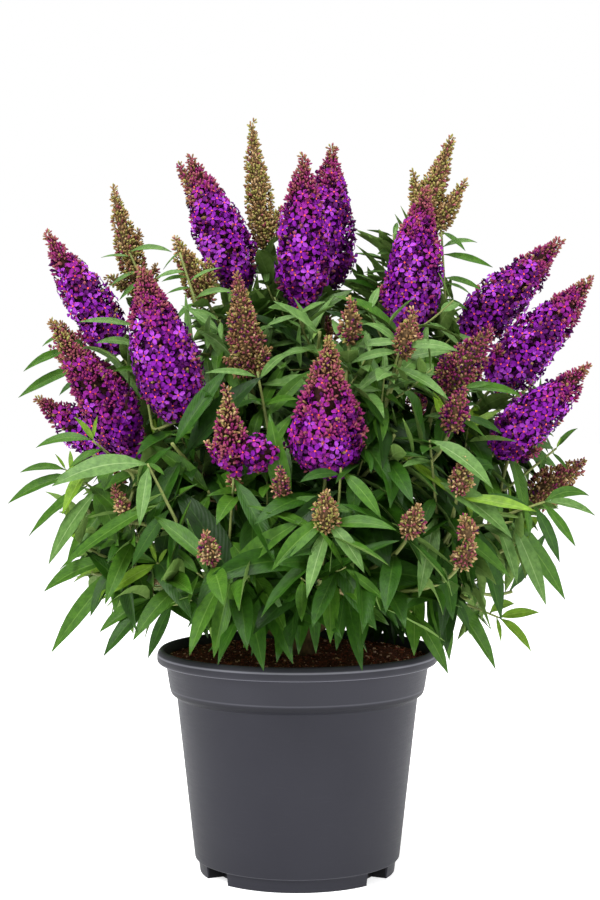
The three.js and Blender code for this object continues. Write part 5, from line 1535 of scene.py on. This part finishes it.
SATIN = {"Specular_IOR_Level": 0.12}
PETALS = [
    flower_finish("violet_petal", (122, 17, 148), (103, 12, 128), **SATIN),
    flower_finish("bright_petal", (158, 64, 184), (139, 46, 166), **SATIN),
    # The deep petal is a darker copy of the violet one: painted shade on florets that lie deeper in the spike.
    flower_finish("deep_shaded_petal", (84, 5, 96), (66, 3, 78), **SATIN),
    flower_finish("magenta_petal", (138, 30, 138), (116, 20, 114), **SATIN)]
THROAT = flower_finish("flower_tube", (80, 6, 82), (56, 3, 60), 0.7, **SATIN)
EYES = flower_finish("orange_eye", (244, 92, 48), (216, 52, 46), 0.6, 900.0)
BUDS = [
    flower_finish("violet_bud", (78, 8, 78), (54, 4, 56), 0.65, **SATIN),
    flower_finish("magenta_bud", (146, 48, 106), (112, 28, 78), 0.65, **SATIN),
    flower_finish("maroon_bud", (154, 86, 94), (118, 56, 64), 0.7, **SATIN),
    flower_finish("brown_bud", (148, 116, 76), (116, 88, 56), 0.75, **SATIN),
    flower_finish("olive_bud", (156, 150, 82), (124, 118, 60), 0.75, **SATIN),
    flower_finish("tan_bud", (196, 168, 124), (164, 134, 96), 0.75, **SATIN)]
# The heart of an open spike is its stem, thick and dark: partly the real stem, partly painted shade showing between
# the florets and buds.
HEART = plain_finish("spike_heart", (60, 30, 28), (40, 24, 20), 0.9, 300.0, 900.0, 0.0006, **SATIN)
YOUNG_HEART = plain_finish("young_spike_heart", (104, 82, 56), (78, 60, 42), 0.9, 300.0, 900.0, 0.0006, **SATIN)
MIXES = {  # shares of the bud finishes for each tone of a young spike
    "olive": (0, 0.0, 0.08, 0.4, 0.38, 0.14), "tan": (0.02, 0.02, 0.26, 0.3, 0.16, 0.24),
    "wine": (0.22, 0.2, 0.34, 0.16, 0.06, 0.02), "umber": (0.05, 0.02, 0.28, 0.47, 0.12, 0.06),
    "maroon": (0.1, 0.12, 0.42, 0.22, 0.08, 0.06)}
FADES = {"violet": (0.55, 1.0), "maroon": (0.3, 0.65)}  # where magenta buds turn maroon, and maroon ones brown
FADING = ([1, 1, 2], [2, 2, 3], [2, 3, 3, 4])  # the bud finishes before, between and after those places
# One small cluster of buds: how many, their turns, how far the middle one and the others tip, and their lift.
CLUSTER = {"buds": 6, "turn": 2.4, "middle": 0.1, "tilt": 0.75, "tilt_sway": 0.12, "lift": 1.2}
STALK = {"share": 0.58, "less": 0.8, "least": 0.7, "sides": 8}  # the stem inside a spike, from its radius
# Two layers of florets, the open ones and the darker ones under them, painted with shade: the space
# between florets, the depth, how far they tip at random, and the shares of violet, bright and deep, shaded petals.
LAYERS = ((8.3, 4.2, 0.2, (0.5, 0.34, 0.16)), (9.0, 8.5, 0.4, (0.2, 0, 0.8)))
AMONG = {"spacing": 5.4, "depth": 7.0, "mix": (0.5, 0.24, 0.2, 0.06, 0, 0)}  # the buds among the florets
FLORET_SIZES, AMONG_SIZES, BUD_SIZES = (9.4, 11.6), (5, 8), (4.6, 6.4)
BUD_SPACING, BUD_DEPTH = 6.1, 5.2
MAGENTA, BLUSH = 3, 0.4  # the petal finish high on a spike, and its share on a spike that isn't violet

# %% Florets, tubes and buds of every spike
florets, buds, hearts = [], [], []
for i, spike in enumerate(spikes):
    draw = np.random.default_rng(SEED * 100 + i)
    opened = spike["opened"]
    rings = np.linspace(-0.01, 0.96, 9)
    outline = SPIKES[spike["kind"]]["outline"]
    thick = spike["radius"] * np.interp(rings, np.linspace(0, 1, len(outline)), outline)
    path = spike["foot"] + spike["axis"] * (rings * spike["length"])[:, None]
    stalk = (thick * STALK["share"] - STALK["less"]).clip(STALK["least"])
    hearts.append((tube(path, stalk, STALK["sides"]), opened))
    blend = SPIKES[spike["kind"]].get("mixed", 0)
    blush = 0 if spike["tone"] == "violet" else BLUSH
    if opened > 0:
        for spacing, depth, loose, mix in LAYERS:
            share, place, way = spread_over(spike, 0.0, min(opened + 2 * blend, 1), spacing, depth, draw)
            out = share + draw.normal(0, blend, len(share)) < opened
            way, count = shaken(way, loose, draw)[out], out.sum()
            tint = draw.choice(3, count, p=mix)
            late = share[out] / opened + draw.normal(0, 0.15, count) > 0.9
            tint = np.where(late | (draw.uniform(size=count) < blush), MAGENTA, tint)
            florets.append((place[out] + way * draw.uniform(0, 3.6, (count, 1)), way,
                            draw.uniform(*FLORET_SIZES, count), draw.uniform(0, ROUND, count), tint))
        share, place, way = spread_over(spike, 0.0, min(opened + 0.05, 1), AMONG["spacing"], AMONG["depth"], draw)
        count = len(place)
        buds.append((place, shaken(way + spike["axis"] * 0.3, 0.3, draw), draw.uniform(*AMONG_SIZES, count),
                     draw.uniform(0, ROUND, count), draw.choice(6, count, p=AMONG["mix"])))
    small_bud = SPIKES[spike["kind"]].get("bud", 1)
    share, place, way = spread_over(spike, max(opened - 2 * blend, 0.0), 1.0, BUD_SPACING * small_bud,
                                    BUD_DEPTH * small_bud, draw)
    closed = share + draw.normal(0, blend, len(share)) > opened - blend / 2
    share, place, way = [np.repeat(each[closed], CLUSTER["buds"], 0) for each in (share, place, way)]
    spot = np.arange(len(share)) % CLUSTER["buds"]
    first = frames_along(way, spot * CLUSTER["turn"] + share * 90)[:, 0]
    tilt = np.where(spot == 0, CLUSTER["middle"], CLUSTER["tilt"]) + draw.normal(0, CLUSTER["tilt_sway"], len(spot))
    way = unit(way + spike["axis"] * 0.6) * np.cos(tilt)[:, None] + first * np.sin(tilt)[:, None]
    size = draw.uniform(*BUD_SIZES, len(share)) * np.clip(1.25 - share * 0.5, 0.7, 1) * small_bud
    if opened > 0 and spike["tone"] in FADES:
        fade = (share - opened) / (1 - opened) + draw.normal(0, 0.14, len(share))
        first, last = FADES[spike["tone"]]
        picks = [draw.choice(some, len(share)) for some in FADING]
        tint = np.where(fade < first, picks[0], np.where(fade < last, picks[1], picks[2]))
    else:
        tint = draw.choice(6, len(share), p=MIXES[spike["tone"]])
        if opened > 0:
            near = share + draw.normal(0, 0.12, len(share)) < opened + 0.2
            tint = np.where(near, draw.choice([1, 2], len(share)), tint)
    buds.append((place + way * CLUSTER["lift"], way, size, draw.uniform(0, ROUND, len(place)), tint))


# %% Florets and buds as pieces
def flower_piece(name, slot, chosen, shape, finishes, kinds_of):
    """The florets or buds of some spikes as one piece; kinds_of(tints) gives the finish of each face."""
    spots, ways, sizes, turns, tints = [np.concatenate([one[k] for one in chosen]) for k in range(5)]
    corners, faces = copies(*shape, spots, frames_along(ways, turns), sizes)
    stands_for(make_piece(name, corners, faces, finishes, kinds_of(tints)), slot, *CROWNS)
    print(len(spots), "in", name)


def floret_faces_of(tints):
    """Petals take their floret's tint, the tube and the eye their own finishes."""
    others = np.where(floret_kinds == 1, len(PETALS), len(PETALS) + 1)
    return np.where(floret_kinds[None] == 0, tints[:, None], others[None]).ravel()


def bud_faces_of(tints):
    """All the faces of a bud take its tint."""
    return np.concatenate([np.repeat(tints, len(part)) for part in bud_faces])


half = len(florets) // 2
for name, chosen in (("lower_blossom", florets[:half]), ("upper_blossom", florets[half:])):
    flower_piece(name, "blossom", chosen, (floret_corners, [floret_faces]), PETALS + [THROAT, EYES], floret_faces_of)
ends = np.cumsum([len(one[0]) for one in buds])
first, second = np.searchsorted(ends, ends[-1] / 3), np.searchsorted(ends, ends[-1] * 2 / 3)
for name, chosen in (("lower_buds", buds[:first]), ("middle_buds", buds[first:second]), ("upper_buds", buds[second:])):
    flower_piece(name, "buds", chosen, (bud_corners, bud_faces), BUDS, bud_faces_of)
for name, chosen, finish in (("bloom_hearts", [heart for heart, opened in hearts if opened > 0], HEART),
                             ("young_hearts", [heart for heart, opened in hearts if opened <= 0], YOUNG_HEART)):
    stalks = [tube(stem, [1.1, 1.0, 0.9], 5) for stem in lobe_stems] if finish is YOUNG_HEART else []
    corners, faces = joined(chosen + stalks)
    stands_for(make_piece(name, corners, faces, [finish]), "buds", *CROWNS)

# %% [markdown]
# ## Sizes
#
# The dressed plant stays within the plain model's box, but for a few millimetres of leaf and petal.

# %% The sizes of the dressed plant
low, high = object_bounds()
